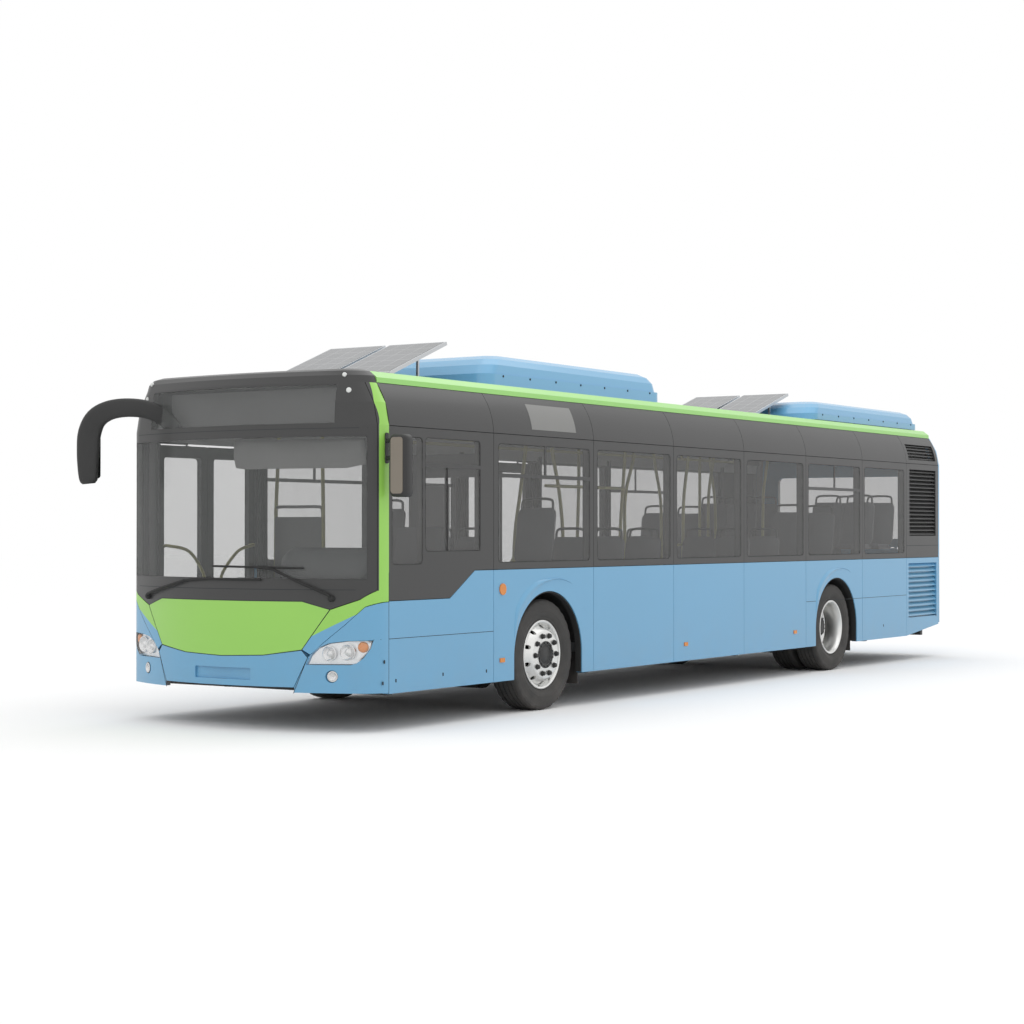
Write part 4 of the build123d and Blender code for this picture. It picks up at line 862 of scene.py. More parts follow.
headlamp = {
    "outline": ((0.757, 0.524), (0.786, 0.588), (0.839, 0.645), (0.927, 0.684), (1.053, 0.701),
                (1.222, 0.706), (1.211, 0.649), (1.171, 0.580), (1.124, 0.540), (1.085, 0.527)),
    "bowls": ((0.921, 0.607, 0.058), (1.053, 0.619, 0.064)),
    "indicator": (1.156, 0.658, 0.042),
    "fog": (0.948, 0.433, 0.041),
    "lookAhead": 1.2,        # how far the bowls turn from the nose's slant to straight ahead
}


def noseSpot(y, z, inset):
    # a point on the nose and the direction that it faces in plan
    x = noseX(y, z, inset)
    slope = (noseX(y + 0.004, z, inset) - noseX(y - 0.004, z, inset)) / 0.008
    return Vector((x, y, z)), Vector((1, -slope, 0)).normalized()


def makeHeadlamps():
    pan, bowls, amber, cover = (bmesh.new() for _ in range(4))
    for side in (1, -1):
        outline = [(side * y, z) for y, z in headlamp["outline"]]
        addNosePatch(pan, outline, 0.030, 0.004, step=0.04)
        addNosePatch(cover, outline, 0.001, 0.003, step=0.04)
        for y, z, radius in headlamp["bowls"]:
            spot, facing = noseSpot(side * y, z, 0.026)
            facing = (facing + Vector((headlamp["lookAhead"], 0, 0))).normalized()
            addLathe(bowls, [(-0.004, radius), (0.016, radius), (0.018, radius - 0.005),
                             (0.012, radius - 0.010), (-0.002, radius * 0.55), (-0.003, radius * 0.36)],
                             spot, facing, 40)
            addLathe(bowls, [(-0.002, radius * 0.50), (0.006, radius * 0.46), (0.013, radius * 0.30),
                             (0.0155, radius * 0.10), (0.0158, 0.001)], spot, facing, 28, loop=False)
        y, z, radius = headlamp["indicator"]
        spot, facing = noseSpot(side * y, z, 0.026)
        lens = [(-0.004, radius), (0.008, radius * 0.96), (0.015, radius * 0.6), (0.016, 0.002)]
        addLathe(amber, lens, spot, facing, 32, loop=False)
        y, z, radius = headlamp["fog"]
        spot, facing = noseSpot(side * y, z, 0.018)
        addLathe(bowls, [(0, radius), (0.019, radius), (0.020, radius - 0.006), (0.010, radius - 0.012),
                         (0.004, radius * 0.4), (0.003, 0.003), (-0.004, 0.003)], spot, facing, 36)
        addLathe(cover, [(0.012, radius - 0.004), (0.0215, radius - 0.008), (0.024, radius * 0.4),
                         (0.0245, 0.002), (0.011, 0.002)], spot, facing, 36)
    cover = finishShape("headlampCovers", cover, "lampCover", smooth=50)
    pan = finishShape("headlampPans", pan, "lampSilver", smooth=50)
    finishShape("headlampBowls", bowls, "chrome", smooth=50)
    finishShape("headlampIndicators", amber, "amberLens", smooth=60)
    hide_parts("headlamps")
    print("headlamps made")


makeHeadlamps()


# Front: display panel, marker lamps, the fine lines across the mask, the lower seams and the wipers

front = {
    "display": (5.5155, 0.865, 2.385, 2.662),          # x, half width, bottom, top
    "markers": ((1.045, 2.626, 0.021), (1.000, 2.748, 0.017)),
    "maskLines": ((1.096, 1.12), (2.335, 1.20)),       # height and reach to each side
    "lineHeight": 0.0035,
    "seamHalf": 0.0022,
    "cornerSeam": (5.4222, 5.4178, 0.297, 1.226),      # front x, rear x, bottom, top
    "seams": (
        # each runs through (y, z) on the left half, and again on the right
        ((0.0, 0.5730), (0.4, 0.5870), (0.72, 0.6320), (0.935, 0.9445), (0.722, 1.0055), (0.0, 1.0055)),
        ((0.655, 0.2990), (0.767, 0.575), (0.7205, 0.6310)),
        ((1.231, 0.7145), (1.262, 0.7155)),
    ),
    "wipers": (
        # pivot, knuckle, arm end, blade start, blade end, all as (y, z)
        ((0.951, 1.030), (0.930, 1.062), (0.500, 1.250), (-0.082, 1.271), (0.740, 1.262)),
        ((-0.930, 1.018), (-0.900, 1.040), (-0.389, 1.157), (-0.330, 1.169), (0.385, 1.171)),
    ),
}


def offNose(spot, out):
    return Vector((noseX(*spot) + out, *spot))


def between(start, end, share):
    return [a + (b - a) * share for a, b in zip(start, end)]


def addSeam(shape, start, end, side):
    run = Vector(end) - Vector(start)
    across = Vector((-run.y, run.x)).normalized() * front["seamHalf"]
    count = max(1, int(run.length / 0.03))
    line = [Vector(start) + run * i / count for i in range(count + 1)]
    line = [spot + across for spot in line] + [spot - across for spot in reversed(line)]
    addNosePatch(shape, [(side * spot.x, spot.y) for spot in line], -0.0006, 0.003, step=0.5)


def makeFrontDetail():
    shape = bmesh.new()
    x, half, low, high = front["display"]
    addPlate(shape, rounded(-half, half, low, high, 0.01), acrossAt(x), 0.012)
    finishShape("destinationPanel", shape, "displayGrey")

    shape = bmesh.new()
    for side in (1, -1):
        for y, z, radius in front["markers"]:
            spot, facing = noseSpot(side * y, z, 0.0)
            lens = [(-0.012, radius), (0.001, radius), (0.005, radius * 0.8), (0.0065, 0.002)]
            addLathe(shape, lens, spot, facing, 24, loop=False)
    finishShape("frontMarkers", shape, "whiteLens", smooth=60)

    shape = bmesh.new()
    half = front["lineHeight"] / 2
    for z, reach in front["maskLines"]:
        ys = [reach * (-1 + 2 * i / 40) for i in range(41)]
        outline = [(y, z - half) for y in ys] + [(y, z + half) for y in reversed(ys)]
        addNosePatch(shape, outline, -0.0006, 0.003, step=0.5)
    finishShape("maskLines", shape, "seamDark")

    shape = bmesh.new()
    for side in (1, -1):
        for seam in front["seams"]:
            for start, end in zip(seam, seam[1:]):
                addSeam(shape, start, end, side)
        addStrip(shape, *front["cornerSeam"], onSide(side, 1.2735), 0.0021)
    finishShape("frontSeams", shape, "seamDark")

    shape = bmesh.new()
    boss = ((-0.02, 0.026), (0.02, 0.026), (0.03, 0.020), (0.034, 0.010))
    for pivot, knuckle, armEnd, bladeStart, bladeEnd in front["wipers"]:
        addLathe(shape, boss, offNose(pivot, 0.0), (1, 0, 0), 20, loop=False)
        arm = [offNose(pivot, 0.024), offNose(knuckle, 0.034), offNose(between(knuckle, armEnd, 0.5), 0.036),
               offNose(armEnd, 0.030)]
        addTube(shape, smoothPath(arm, 5), 0.011)
        blade = [offNose(between(bladeStart, bladeEnd, i / 8), 0.016) for i in range(9)]
        addTube(shape, smoothPath(blade, 2), 0.0085, 8)
        addTube(shape, [offNose(armEnd, 0.031), blade[2 if armEnd[0] < 0 else 4]], 0.009, 8)
    piece = finishShape("wiperArms", shape, "rubberBlack", smooth=60)
    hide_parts("wipers")
    print("front detail made")


makeFrontDetail()


# Sides: thin joints between lower panels, lock holes, window bars and rubbers

sides = {
    # front x, rear x, height, sides
    "joints": ((5.417, 3.973, 0.717, (1,)), (-2.103, -3.607, 0.783, (1, -1)),
               (-3.613, -4.917, 0.783, (1, -1)), (-4.923, -5.937, 1.372, (1, -1))),
    "locks": ((5.329, 0.392), (4.698, 0.404), (4.078, 0.394), (5.476, 0.544), (5.495, 0.381), (-4.218, 0.446),
              (-5.863, 0.511)),    # the right side has only those behind the middle
    # windows with a tilting upper part
    "hoppers": ((3.9, 2.425, (1, -1)), (2.295, 0.935, (-1,)), (-2.165, -3.545, (1, -1))),
    "hopperBar": (1.994, 2.026),
    "driverWindow": (4.94, 4.165, 1.385, 2.283),
    "driverBar": (2.052, 2.082),
    "slidingPane": (4.639, 4.168),
    "jointSkin": 1.2735,
    "barSkin": 1.2625,
    "display": (3.375, 2.655, 2.412, 0.22),    # front x, rear x, bottom, height
}
windowsLeft = ((5.38, 4.975, 1.285, 2.28), sides["driverWindow"]) + tuple(
    (xFront, xRear, 1.285, 2.275) for xFront, xRear in (
        (3.9, 2.425), (2.295, 0.935), (0.805, -0.555), (-0.685, -2.035), (-2.165, -3.545), (-3.675, -4.85)))
windowsRight = tuple(windowsLeft[i] for i in (2, 3, 5, 6, 7))


def coveY(z):
    # the curved shoulder is an arc through (1.275, 2.36), (1.24, 2.535) and (1.155, 2.69)
    y1, z1, y2, z2, y3, z3 = 1.275, 2.36, 1.24, 2.535, 1.155, 2.69
    turn = 2 * (y1 * (z2 - z3) + y2 * (z3 - z1) + y3 * (z1 - z2))
    s1, s2, s3 = y1**2 + z1**2, y2**2 + z2**2, y3**2 + z3**2
    centreY = (s1 * (z2 - z3) + s2 * (z3 - z1) + s3 * (z1 - z2)) / turn
    centreZ = (s1 * (y3 - y2) + s2 * (y1 - y3) + s3 * (y2 - y1)) / turn
    radius = math.hypot(y1 - centreY, z1 - centreZ)
    return centreY + math.sqrt(radius**2 - (z - centreZ) ** 2)


def makeSideDetail():
    shape = bmesh.new()
    half = front["seamHalf"]
    for xFront, xRear, z, where in sides["joints"]:
        for side in where:
            addStrip(shape, xFront, xRear, z - half, z + half, onSide(side, sides["jointSkin"]), 0.002)
    for x, z in sides["locks"]:
        for side in (1, -1) if x < 0 else (1,):
            hole = rounded(x - 0.008, x + 0.008, z - 0.014, z + 0.014, 0.006, 3)
            addPlate(shape, hole, onSide(side, sides["jointSkin"]), 0.0024)
    finishShape("panelJoints", shape, "seamDark")

    shape = bmesh.new()
    low, high = sides["hopperBar"]
    for xFront, xRear, where in sides["hoppers"]:
        middle = (xFront + xRear) / 2
        for place in (onSide(side, sides["barSkin"]) for side in where):
            addStrip(shape, xFront, xRear, low, high, place, 0.0135)
            addStrip(shape, middle + 0.012, middle - 0.012, high, 2.275, place, 0.0130)
    xFront, xRear, bottom, top = sides["driverWindow"]
    low, high = sides["driverBar"]
    addStrip(shape, xFront, xRear, low, high, onSide(1, sides["barSkin"]), 0.0135)
    finishShape("windowBars", shape, "blackBand")

    shape = bmesh.new()
    paneFront, paneRear = sides["slidingPane"]
    addStrip(shape, paneFront + 0.009, paneFront - 0.009, bottom, low, onSide(1, 1.255), 0.0215)
    for z0, z1 in ((bottom, low), (high, top - 0.02)):
        addStrip(shape, paneRear + 0.012, paneRear, z0, z1, onSide(1, sides["barSkin"]), 0.0138)
    for side, windows in ((1, windowsLeft), (-1, windowsRight)):
        for xFront, xRear, zLow, zHigh in windows:
            outer = rounded(xRear - 0.0015, xFront + 0.0015, zLow - 0.0015, zHigh + 0.0015, 0.041)
            inner = rounded(xRear + 0.004, xFront - 0.004, zLow + 0.004, zHigh - 0.004, 0.036)
            addFrame(shape, outer, inner, onSide(side, 1.270), 0.0052)
    finishShape("windowRubbers", shape, "rubberBlack")

    shape = bmesh.new()
    xFront, xRear, low, height = sides["display"]
    rings = []
    for z in (low + height * i / 8 for i in range(9)):
        y = coveY(z) + 0.0012
        rings.append([(xFront, y, z), (xRear, y, z), (xRear, y - 0.005, z), (xFront, y - 0.005, z)])
    addSolid(shape, rings)
    finishShape("sideDisplay", shape, "displayPale", smooth=60)
    print("side detail made")


makeSideDetail()


# Louvre screens: plates behind the grilles of each rear corner; the upper and cove ones are black sheets that
# paint the shade seen through the gaps, the lower one is plain blue paint

louvres = (
    # piece, finish, slot, front x, rear x, bottom, top, distance from the centre line
    ("lowerLouvreScreens", "bluePaint", "blue_paint", -4.98, -5.885, 0.505, 1.165, 1.216),
    # painted shade: the upper and cove plates are black sheets that darken the gaps between the louvre blades
    ("upperLouvreShadeSheets", "rubberBlack", "black_plastic", -5.01, -5.86, 1.485, 2.292, 1.216),
    ("coveLouvreShadeSheets", "rubberBlack", "black_plastic", -4.99, -5.87, 2.395, 2.60, 1.135),
)


def makeScreens():
    for name, finish, slot, xFront, xRear, low, high, y in louvres:
        shape = bmesh.new()
        for side in (1, -1):
            addPlate(shape, rounded(xRear, xFront, low, high, 0.01), onSide(side, y), 0.006)
        finishShape(name, shape, finish)
    print("louvre screens made")


makeScreens()


# Roof: solar cells on the tilted panels, studs along the pods

solar = {
    # low x, low z, high x, high z, half width
    "arrays": ((4.54, 2.858, 3.73, 3.167, 0.63), (-2.28, 2.858, -3.10, 3.114, 0.59)),
    "gap": 0.0225,
    "border": 0.018,
    "proud": 0.0015,
}
podStuds = {
    # front x, rear x, half width and height of each row
    "rows": ((3.555, 0.47, 0.93, 2.885), (-2.845, -5.938, 1.02, 2.858)),
    "count": 7,
    "margin": 0.25,
    "section": ((-0.004, 0.011), (0.004, 0.010), (0.006, 0.004)),
}


def makeRoofDetail():
    shape = bmesh.new()
    edge = solar["border"]
    for lowX, lowZ, highX, highZ, half in solar["arrays"]:
        run = Vector((highX - lowX, 0, highZ - lowZ))
        along = run.normalized()
        out = Vector((along.z, 0, -along.x))     # square to the tilted panel, upwards
        outline = rounded(edge, run.length - edge, solar["gap"] + edge, half - edge, 0.004, 2)
        for side in (1, -1):
            addPlate(shape, outline, lambda u, v, w: (
                Vector((lowX, side * v, lowZ)) + along * u + out * w), solar["proud"])
    finishShape("solarCells", shape, "solarCell")

    shape = bmesh.new()
    for xFront, xRear, half, z in podStuds["rows"]:
        for i in range(podStuds["count"]):
            pitch = (xFront - xRear - 2 * podStuds["margin"]) / (podStuds["count"] - 1)
            x = xFront - podStuds["margin"] - pitch * i
            for side in (1, -1):
                addLathe(shape, podStuds["section"], (x, side * half, z), (0, side, 0), 12, loop=False)
    finishShape("podStuds", shape, "seamDark")
    print("roof detail made")


makeRoofDetail()


# Mirrors: one long moulding on the right, a compact head on two brackets on the left

mirror = {
    "arm": (
        # x, y, z, half height, half depth
        (5.58, -0.770, 2.36, 0.062, 0.036), (5.66, -0.815, 2.46, 0.070, 0.040),
        (5.76, -0.900, 2.528, 0.074, 0.042), (5.865, -1.020, 2.548, 0.076, 0.044),
        (5.940, -1.160, 2.528, 0.080, 0.046), (5.978, -1.275, 2.462, 0.088, 0.048),
        (5.990, -1.338, 2.345, 0.094, 0.052), (5.992, -1.352, 2.200, 0.092, 0.054),
        (5.990, -1.354, 2.060, 0.085, 0.053), (5.988, -1.352, 1.965, 0.074, 0.048),
        (5.986, -1.350, 1.932, 0.052, 0.034),
    ),
    "armFlat": (0.75, 0.66, 0),     # the arm's depth lies along this
    "rightGlass": (-1.43, -1.275, 1.975, 2.33, 0.03),
    "rightGlassX": 5.934,
    "brackets": (2.10, 2.235),
    "bracketFoot": (5.435, 5.472, 2.065, 2.30, 0.012),
    "squareness": 0.62,             # 1 is an ellipse, and less is squarer
    "leftHead": (5.47, 1.425, 1.805, 2.285, 0.0475, 0.0825),   # x, y, low, high, half depth, half width
}


def squarer(value):
    return math.copysign(abs(value) ** mirror["squareness"], value)


def makeMirrors():
    shape = bmesh.new()
    path = smoothPath([row[:3] for row in mirror["arm"]], 5)
    sizes = smoothPath([(high, depth, 0) for x, y, z, high, depth in mirror["arm"]], 5)
    flat = Vector(mirror["armFlat"]).normalized()
    rings = []
    for i, point in enumerate(path):
        along = pathDirection(path, i)
        deep = (flat - along * flat.dot(along)).normalized()
        across = along.cross(deep).normalized()
        rings.append([point + across * (sizes[i].x * squarer(c)) + deep * (sizes[i].y * squarer(s))
                      for c, s in turns(20)])
    addSolid(shape, rings)
    arm = finishShape("rightMirrorMoulding", shape, "mirrorShell", smooth=70)
    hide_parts("mirrors")

    shape = bmesh.new()
    addPlate(shape, rounded(*mirror["rightGlass"]), acrossAt(mirror["rightGlassX"], -1), 0.006)
    x, y, low, high, depth, half = mirror["leftHead"]
    face = rounded(y - half + 0.012, y + half - 0.012, low + 0.02, high - 0.02, 0.03)
    addPlate(shape, face, acrossAt(x - depth + 0.001, -1), 0.004)
    finishShape("mirrorGlasses", shape, "mirrorGlass")

    shape = bmesh.new()
    rings = []
    for share, shrink in ((-1, 0.006), (-0.85, 0), (0.55, 0.001), (0.88, 0.008), (1, 0.024)):
        ring = rounded(y - half + shrink, y + half - shrink, low + shrink, high - shrink,
                       0.042 - shrink * 0.5, 6)
        rings.append([(x + share * depth, u, v) for u, v in ring])
    addSolid(shape, rings)
    for z in mirror["brackets"]:
        addTube(shape, smoothPath([(5.452, 1.262, z), (5.458, 1.31, z + 0.004), (5.468, 1.352, z)], 4), 0.017)
    addPlate(shape, rounded(*mirror["bracketFoot"]), onSide(1, 1.2745), 0.011)
    finishShape("leftMirrorHead", shape, "mirrorShell", smooth=50)

    shape = bmesh.new()
    face = rounded(y - half + 0.022, y + half - 0.030, low + 0.026, high - 0.024, 0.026)
    addPlate(shape, face, acrossAt(x + depth - 0.004), 0.008)
    finishShape("leftMirrorFace", shape, "mirrorTaupe")
    print("mirrors made")


makeMirrors()


# Seats: moulded shells with cloth facings, arch handles and legs

seating = {
    "kinds": {
        # floor height, rise to the cushion, near and far edge from the centre line
        "overWheel": (1.06, 0.19, 0.62, 1.04),
        "aisle": (0.365, 0.62, 0.36, 1.165),
        "rear": (0.95, 0.43, 0.36, 1.165),
    },
    "rows": (
        # x of the seat back, kind, sides
        (2.60, "overWheel", (1, -1)), (1.60, "aisle", (1, -1)), (0.90, "aisle", (1,)), (-1.00, "aisle", (1,)),
        (-1.70, "aisle", (1, -1)), (-2.60, "overWheel", (1, -1)), (-3.40, "overWheel", (1, -1)),
        (-4.25, "rear", (1, -1)), (-4.84, "rear", (1, -1)),
    ),
    "backHeight": 0.5,
    "shell": 0.034,
    "hollow": 0.016,
    "lean": -0.075,
    "handleRise": 0.085,
    "handleRadius": 0.0125,
}


def addSeatBack(shape, x, y, z, half):
    # a pressed shell that leans back, with rounded shoulders and a hollow for the sitter
    rings = []
    outline = rounded(-half, half, 0, seating["backHeight"], 0.07, 6)
    for depth, shrink in ((0, 0.008), (0.006, 0), (seating["shell"] - 0.006, 0), (seating["shell"], 0.008)):
        ring = []
        for u, v in outline:
            u = u * (1 - shrink / half)
            v = min(max(v, shrink), seating["backHeight"] - shrink)
            hollow = seating["hollow"] * (u / half) ** 2
            lean = seating["lean"] * v / seating["backHeight"]
            ring.append((x + lean + hollow - depth, y + u, z + v))
        rings.append(ring)
    addSolid(shape, rings)


def handlePath(x, y, reach, high):
    # an arch over the seat back
    top = high + seating["handleRise"]
    half = [(x + 0.02, -reach, high - 0.12), (x + 0.006, -reach, high + 0.03),
            (x, -reach * 0.82, top - 0.008)]
    spots = half + [(x, 0, top)] + [(u, -v, w) for u, v, w in reversed(half)]
    return smoothPath([(u, y + v, w) for u, v, w in spots], 5)


def addFacings(shape, x, y, top, half):
    addBox(shape, (x + 0.09, y - half + 0.02, top - 0.016), (x + 0.425, y + half - 0.02, top + 0.014), 0.012)
    addBox(shape, (x + 0.052, y - half + 0.035, top + 0.05), (x + 0.064, y + half - 0.035, top + 0.12), 0.004)


def addLegs(shape, x, middle, low, high):
    if high - low > 0.25:    # a pedestal on a foot plate
        addBox(shape, (x + 0.14, middle - 0.035, low), (x + 0.32, middle + 0.035, high), 0.01)
        addBox(shape, (x + 0.08, middle - 0.11, low), (x + 0.38, middle + 0.11, low + 0.017), 0.006)
    else:
        for foot in (x + 0.13, x + 0.36):
            addBox(shape, (foot - 0.025, middle - 0.16, low), (foot + 0.025, middle + 0.16, high), 0.008)


def makeSeats():
    shells, pads, handles, legs = (bmesh.new() for _ in range(4))
    places = [(x, side, *seating["kinds"][kind]) for x, kind, where in seating["rows"] for side in where]
    for x, side, floorZ, rise, near, far in places:
        seatCount = 2 if far - near > 0.6 else 1
        width = (far - near) / seatCount
        half = width / 2 - 0.012
        top = floorZ + rise
        for i in range(seatCount):
            y = side * (near + width * (i + 0.5))
            addSeatBack(shells, x + 0.072, y, top + 0.005, half)
            addBox(shells, (x + 0.08, y - half, top - 0.045), (x + 0.44, y + half, top - 0.014), 0.012)
            addFacings(pads, x, y, top, half)
            path = handlePath(x - 0.012, y, half - 0.035, top + seating["backHeight"])
            addTube(handles, path, seating["handleRadius"], 8, up=(1, 0.05, 0))
        addLegs(legs, x, side * (near + far) / 2, floorZ + 0.001, top - 0.046)
    shell = finishShape("seatShells", shells, "seatShell", smooth=50)
    finishShape("seatPads", pads, "seatCloth", smooth=50)
    finishShape("seatHandles", handles, "handleBlack", smooth=60)
    finishShape("seatLegs", legs, "blackMetal")
    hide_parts("passenger_seats")
    print("seats made")


makeSeats()


# Handrails: stanchions with bent tops, and rails along the ceiling

rails = {
    "radius": 0.017,
    "y": 0.35,
    # x of each stanchion at the heights below
    "leftStanchions": (
        (2.26, 2.24, 2.14, 2.05, 1.98), (1.36, 1.38, 1.45, 1.58, 1.68), (0.30, 0.30, 0.25, 0.20, 0.18),
        (0.20, 0.20, 0.19, 0.02, -0.06), (-1.02, -1.03, -1.05, -1.14, -1.20),
    ),
    "rightStanchions": (
        (-0.0291, -0.0291, -0.0505, -0.0612, -0.0612), (-1.8240, -1.8240, -1.8027, -1.6745, -1.5890),
        (-2.7322, -2.7322, -2.7322, -2.7322, -2.7322), (-3.1275, -3.1275, -3.1061, -2.9993, -2.9352),
    ),
    "heights": (0.366, 1.4, 1.9, 2.3, 2.742),
    "bars": ((1.70, 0.20, 1.975), (0.30, -0.68, 1.40), (-0.90, -1.82, 1.40)),    # front x, rear x, height
    "ceiling": (3.40, -3.60, 2.36),
    "hangers": (3.40, -2.30, -3.60),
    "rearPost": ((-2.94, 0.561), (-2.94, 1.73), (-2.99, 2.13), (-3.21, 2.742)),
}


def addPost(shape, spots, y):
    addTube(shape, smoothPath([(x, y, z) for x, z in spots], 5), rails["radius"], 12, up=(0, 1, 0))


def addRail(shape, xFront, xRear, z, y):
    addTube(shape, [(xFront, y, z), (xRear, y, z)], rails["radius"] * 0.92, 12)


def makeRails():
    shape = bmesh.new()
    ceilingZ = rails["heights"][-1]
    for y, stanchions in ((rails["y"], rails["leftStanchions"]), (-rails["y"], rails["rightStanchions"])):
        for xs in stanchions:
            addPost(shape, zip(xs, rails["heights"]), y)
        addPost(shape, rails["rearPost"], y)
        addRail(shape, *rails["ceiling"], y)
        for x in rails["hangers"]:
            hanger = [(x, y, rails["ceiling"][2] - 0.002), (x, y, ceilingZ)]
            addTube(shape, hanger, rails["radius"] * 0.9, 12, up=(0, 1, 0))
    for bar in rails["bars"]:
        addRail(shape, *bar, rails["y"])
    piece = finishShape("stanchions", shape, "yellowRail", smooth=60)
    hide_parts("handrails")
    print("handrails made")


makeRails()


# Saloon: linings, the sun blind, the instrument hood and the screen behind the front door

saloon = {
    "lining": (
        # distance from the centre line and height of the lining's section
        (1.208, 2.300), (1.20, 2.36), (1.17, 2.44), (1.10, 2.58), (1.02, 2.66), (0.90, 2.70), (0.30, 2.735),
        (0.0, 2.742),
    ),
    "front": 5.36,
    "rear": -5.90,
    "blind": (0.02, 1.14, 2.03, 2.26),
    # x, bottom, top and half width of each section
    "hood": ((5.50, 1.10, 1.24, 0.40), (5.40, 1.09, 1.36, 0.47), (5.30, 1.06, 1.415, 0.48),
             (5.23, 1.03, 1.39, 0.46), (5.19, 1.02, 1.20, 0.44)),
    "hoodY": 0.66,
    "screenX": 3.80,
    "screen": (-1.20, -0.665, 0.80, 1.672, 0.03),
    "cabScreenX": 3.786,
    "cabScreen": (0.41, 0.70, 1.25, 1.93, 0.02),
    # across the bus and up
    "screenRail": ((-0.665, 1.64), (-0.668, 1.74), (-0.72, 1.762), (-0.95, 1.762), (-1.16, 1.762),
                   (-1.20, 1.74), (-1.202, 1.64)),
    "posts": ((-0.655, 0.02), (-1.20, -0.05)),    # y at the floor, lean outwards
}


def makeSaloon():
    shape = bmesh.new()
    section = saloon["lining"] + tuple((-y, z) for y, z in reversed(saloon["lining"][:-1]))
    outline = list(section) + [(y * 0.994, z - 0.008) for y, z in reversed(section)]
    addPlate(shape, outline, acrossAt(saloon["front"], -1), saloon["front"] - saloon["rear"])
    finishShape("ceilingLining", shape, "liningGrey", smooth=50)

    shape = bmesh.new()
    y0, y1, low, high = saloon["blind"]
    outline = [(y0 + 0.01, low + 0.012), (y0 + 0.09, low)]
    outline += [(y0 + (y1 - y0) * i / 8, low) for i in range(2, 8)]
    outline += [(y1, low + 0.03), (y1, high), (y0 - 0.02, high), (y0 - 0.02, low + 0.10)]
    addNosePatch(shape, outline, 0.075, 0.004, step=0.1)
    finishShape("sunBlind", shape, "blindGrey", smooth=60)

    shape = bmesh.new()
    rings = []
    for x, low, high, half in saloon["hood"]:
        ring = rounded(-half, half, low, high, min(0.07, (high - low) / 2.2))
        rings.append([(x, saloon["hoodY"] + u, v) for u, v in ring])
    addSolid(shape, rings)
    finishShape("instrumentHood", shape, "cabPlastic", smooth=50)

    shape = bmesh.new()
    x = saloon["screenX"]
    addTube(shape, smoothPath([(x, y, z) for y, z in saloon["screenRail"]], 5), 0.014, up=(1, 0, 0))
    addPlate(shape, rounded(*saloon["screen"]), acrossAt(x), 0.018)
    addPlate(shape, rounded(*saloon["cabScreen"]), acrossAt(saloon["cabScreenX"]), 0.018)
    finishShape("doorwayScreen", shape, "trimGrey")

    shape = bmesh.new()
    for y, lean in saloon["posts"]:
        spots = [(x, y, 0.60), (x, y, 1.60), (x, y - lean * 0.4, 2.10), (x, y - lean, 2.70)]
        addTube(shape, smoothPath(spots, 5), rails["radius"], 12, up=(0, 1, 0))
    finishShape("doorwayPosts", shape, "yellowRail", smooth=60)
    print("saloon linings made")


makeSaloon()


# Doors: rubber edges and curved grab rails that ride on each leaf

doorway = {
    "leaves": (
        # body, middle of the leaf, direction of the meeting edge
        ("front_door_front_leaf", 4.9885, -1), ("front_door_rear_leaf", 4.3635, 1),
        ("middle_door_front_leaf", 0.4375, -1), ("middle_door_rear_leaf", -0.1875, 1),
    ),
    "leafWidth": 0.615,
    "edge": (0.40, 2.265),         # bottom and top of the rubber edge
    "window": (0.483, 2.182),
    "border": 0.070,               # from the leaf's edge to its window
    "rubber": 0.012,
}


def makeDoors():
    half = doorway["leafWidth"] / 2
    low, high = doorway["window"]
    for body, middle, inward in doorway["leaves"]:
        shape = bmesh.new()
        edge = middle + inward * (half + 0.0035)
        addPlate(shape, rounded(edge - 0.0036, edge + 0.0036, *doorway["edge"], 0.003, 2), onSide(-1, 1.236),
                 0.036)
        reach = half - doorway["border"]
        rubber = doorway["rubber"]
        window = rounded(middle - reach, middle + reach, low, high, 0.045)
        pane = rounded(middle - reach + rubber, middle + reach - rubber, low + rubber, high - rubber, 0.036)
        addFrame(shape, window, pane, onSide(-1, 1.2745), 0.0022)
        finishShape(body + "Rubbers", shape, "rubberBlack", body)

        shape = bmesh.new()
        near = middle + inward * 0.19
        far = middle - inward * 0.235
        grab = [(far, -1.234, 1.42), (far + inward * 0.01, -1.178, 1.42), (middle, -1.160, 1.37),
                (near, -1.172, 1.18), (near + inward * 0.012, -1.178, 1.05),
                (near + inward * 0.012, -1.234, 1.04)]
        addTube(shape, smoothPath(grab, 6), 0.014, 10, up=(1, 0.1, 0))
        finishShape(body + "Grab", shape, "yellowRail", body, smooth=60)
    print("door detail made")


makeDoors()


# Rear lamps: ribbed lenses over the round tail lamps

tailLamp = {
    "x": -6.0958,
    "y": 1.115,
    "radius": 0.0565,
    "ribPitch": 0.0085,
    "colours": (("tailLampsRed", "redLens", (0.82, 1.10)), ("tailLampsAmber", "amberLens", (0.96,))),
}


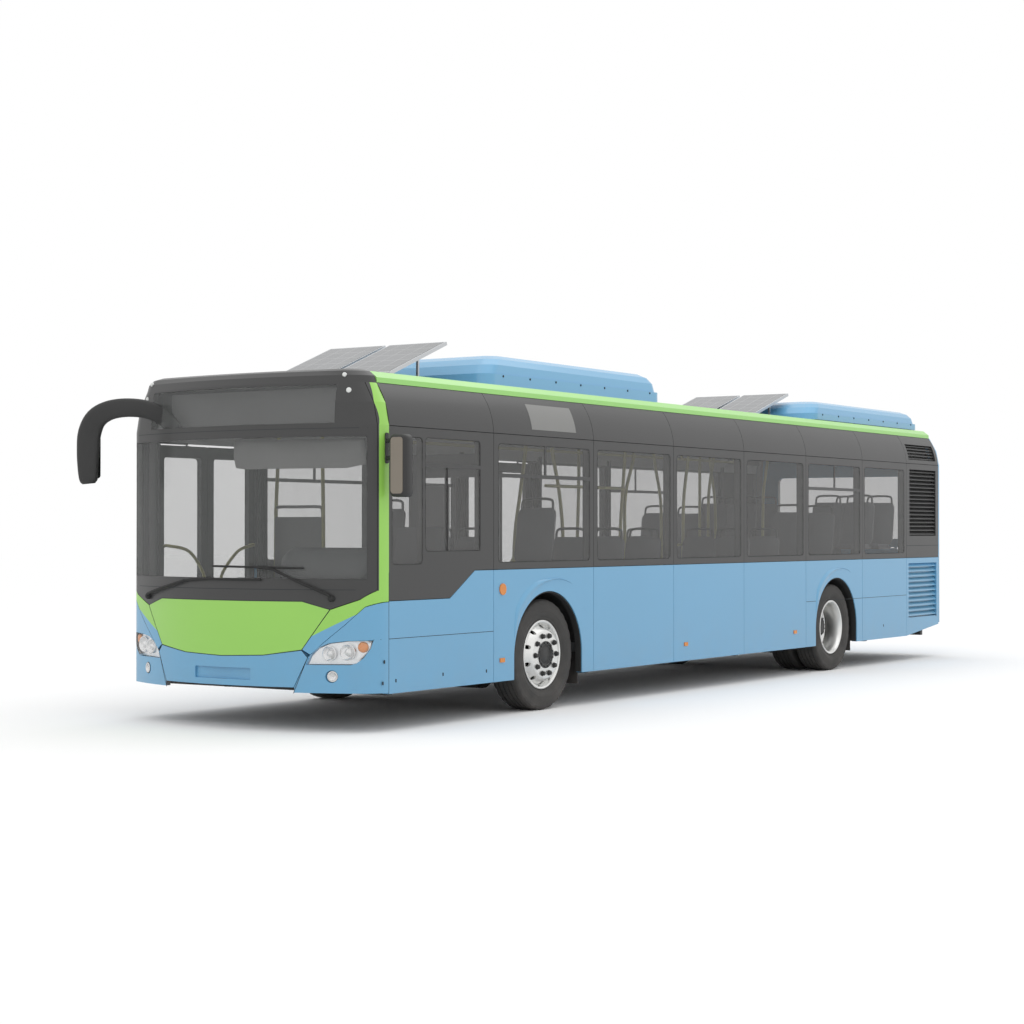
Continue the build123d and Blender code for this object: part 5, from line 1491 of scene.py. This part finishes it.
def makeTailLamps():
    profile = [(-0.004, tailLamp["radius"])]
    for i in range(6):
        radius = tailLamp["radius"] - tailLamp["ribPitch"] * i
        profile += [(0.0012 + 0.0002 * i, radius - 0.001), (0.0028 + 0.0002 * i, radius - 0.0045)]
    profile += [(0.0036, 0.002)]
    for name, finish, heights in tailLamp["colours"]:
        shape = bmesh.new()
        for z in heights:
            for side in (1, -1):
                addLathe(shape, profile, (tailLamp["x"], side * tailLamp["y"], z), (-1, 0, 0), 40, loop=False)
        finishShape(name, shape, finish)
    print("tail lamps made")


makeTailLamps()


# Floor, world and lamps

studio = {
    "floorSize": 160,
    "skyFill": 1.0,         # world light on the object
    "lampSpot": (0, 1.5, 9),
    "lampSize": (14, 8.4),
    "lampPower": 230,
    "floorTone": 0.8,       # what the floor gives back to the object
}


def makeWorld(settings):
    world = bpy.data.worlds.new("studio")
    bpy.context.scene.world = world
    world.use_nodes = True
    tree = world.node_tree
    rays = addNode(tree, "LightPath", (-700, 0)).outputs
    seen = calculate(tree, "ADD", (-500, 0), rays["Is Camera Ray"], rays["Is Glossy Ray"])
    seen = calculate(tree, "ADD", (-340, 0), seen, rays["Is Transmission Ray"], use_clamp=True)
    level = addNode(tree, "MapRange", (-180, 0), {"Value": seen, "To Min": settings["skyFill"], "To Max": 1})
    feed(tree, tree.nodes["Background"], {"Color": (1, 1, 1, 1), "Strength": level.outputs["Result"]})


def makeStudio(settings):
    scene = bpy.context.scene
    half = settings["floorSize"] / 2
    mesh = bpy.data.meshes.new("floor")
    mesh.from_pydata([(-half, -half, 0), (half, -half, 0), (half, half, 0), (-half, half, 0)], [],
                     [(0, 1, 2, 3)])
    floor = bpy.data.objects.new("floor", mesh)
    scene.collection.objects.link(floor)
    floorMaterial, tree, shader = newMaterial("studioFloor")
    seen = addNode(tree, "LightPath", (-700, 0)).outputs["Is Camera Ray"]
    tone = mixColour(tree, (-300, 0), seen, [settings["floorTone"]] * 3 + [1], (1, 1, 1, 1))
    feed(tree, shader, {"Base Color": tone, "Roughness": 0.9, "Specular IOR Level": 0})
    mesh.materials.append(floorMaterial)

    lamp = bpy.data.lights.new("overheadLamp", "AREA")
    lamp.shape = "RECTANGLE"
    lamp.size, lamp.size_y = settings["lampSize"]
    lamp.energy = settings["lampPower"]
    holder = bpy.data.objects.new("overheadLamp", lamp)
    holder.location = settings["lampSpot"]
    scene.collection.objects.link(holder)
    print("studio ready")


makeWorld(studio)
makeStudio(studio)
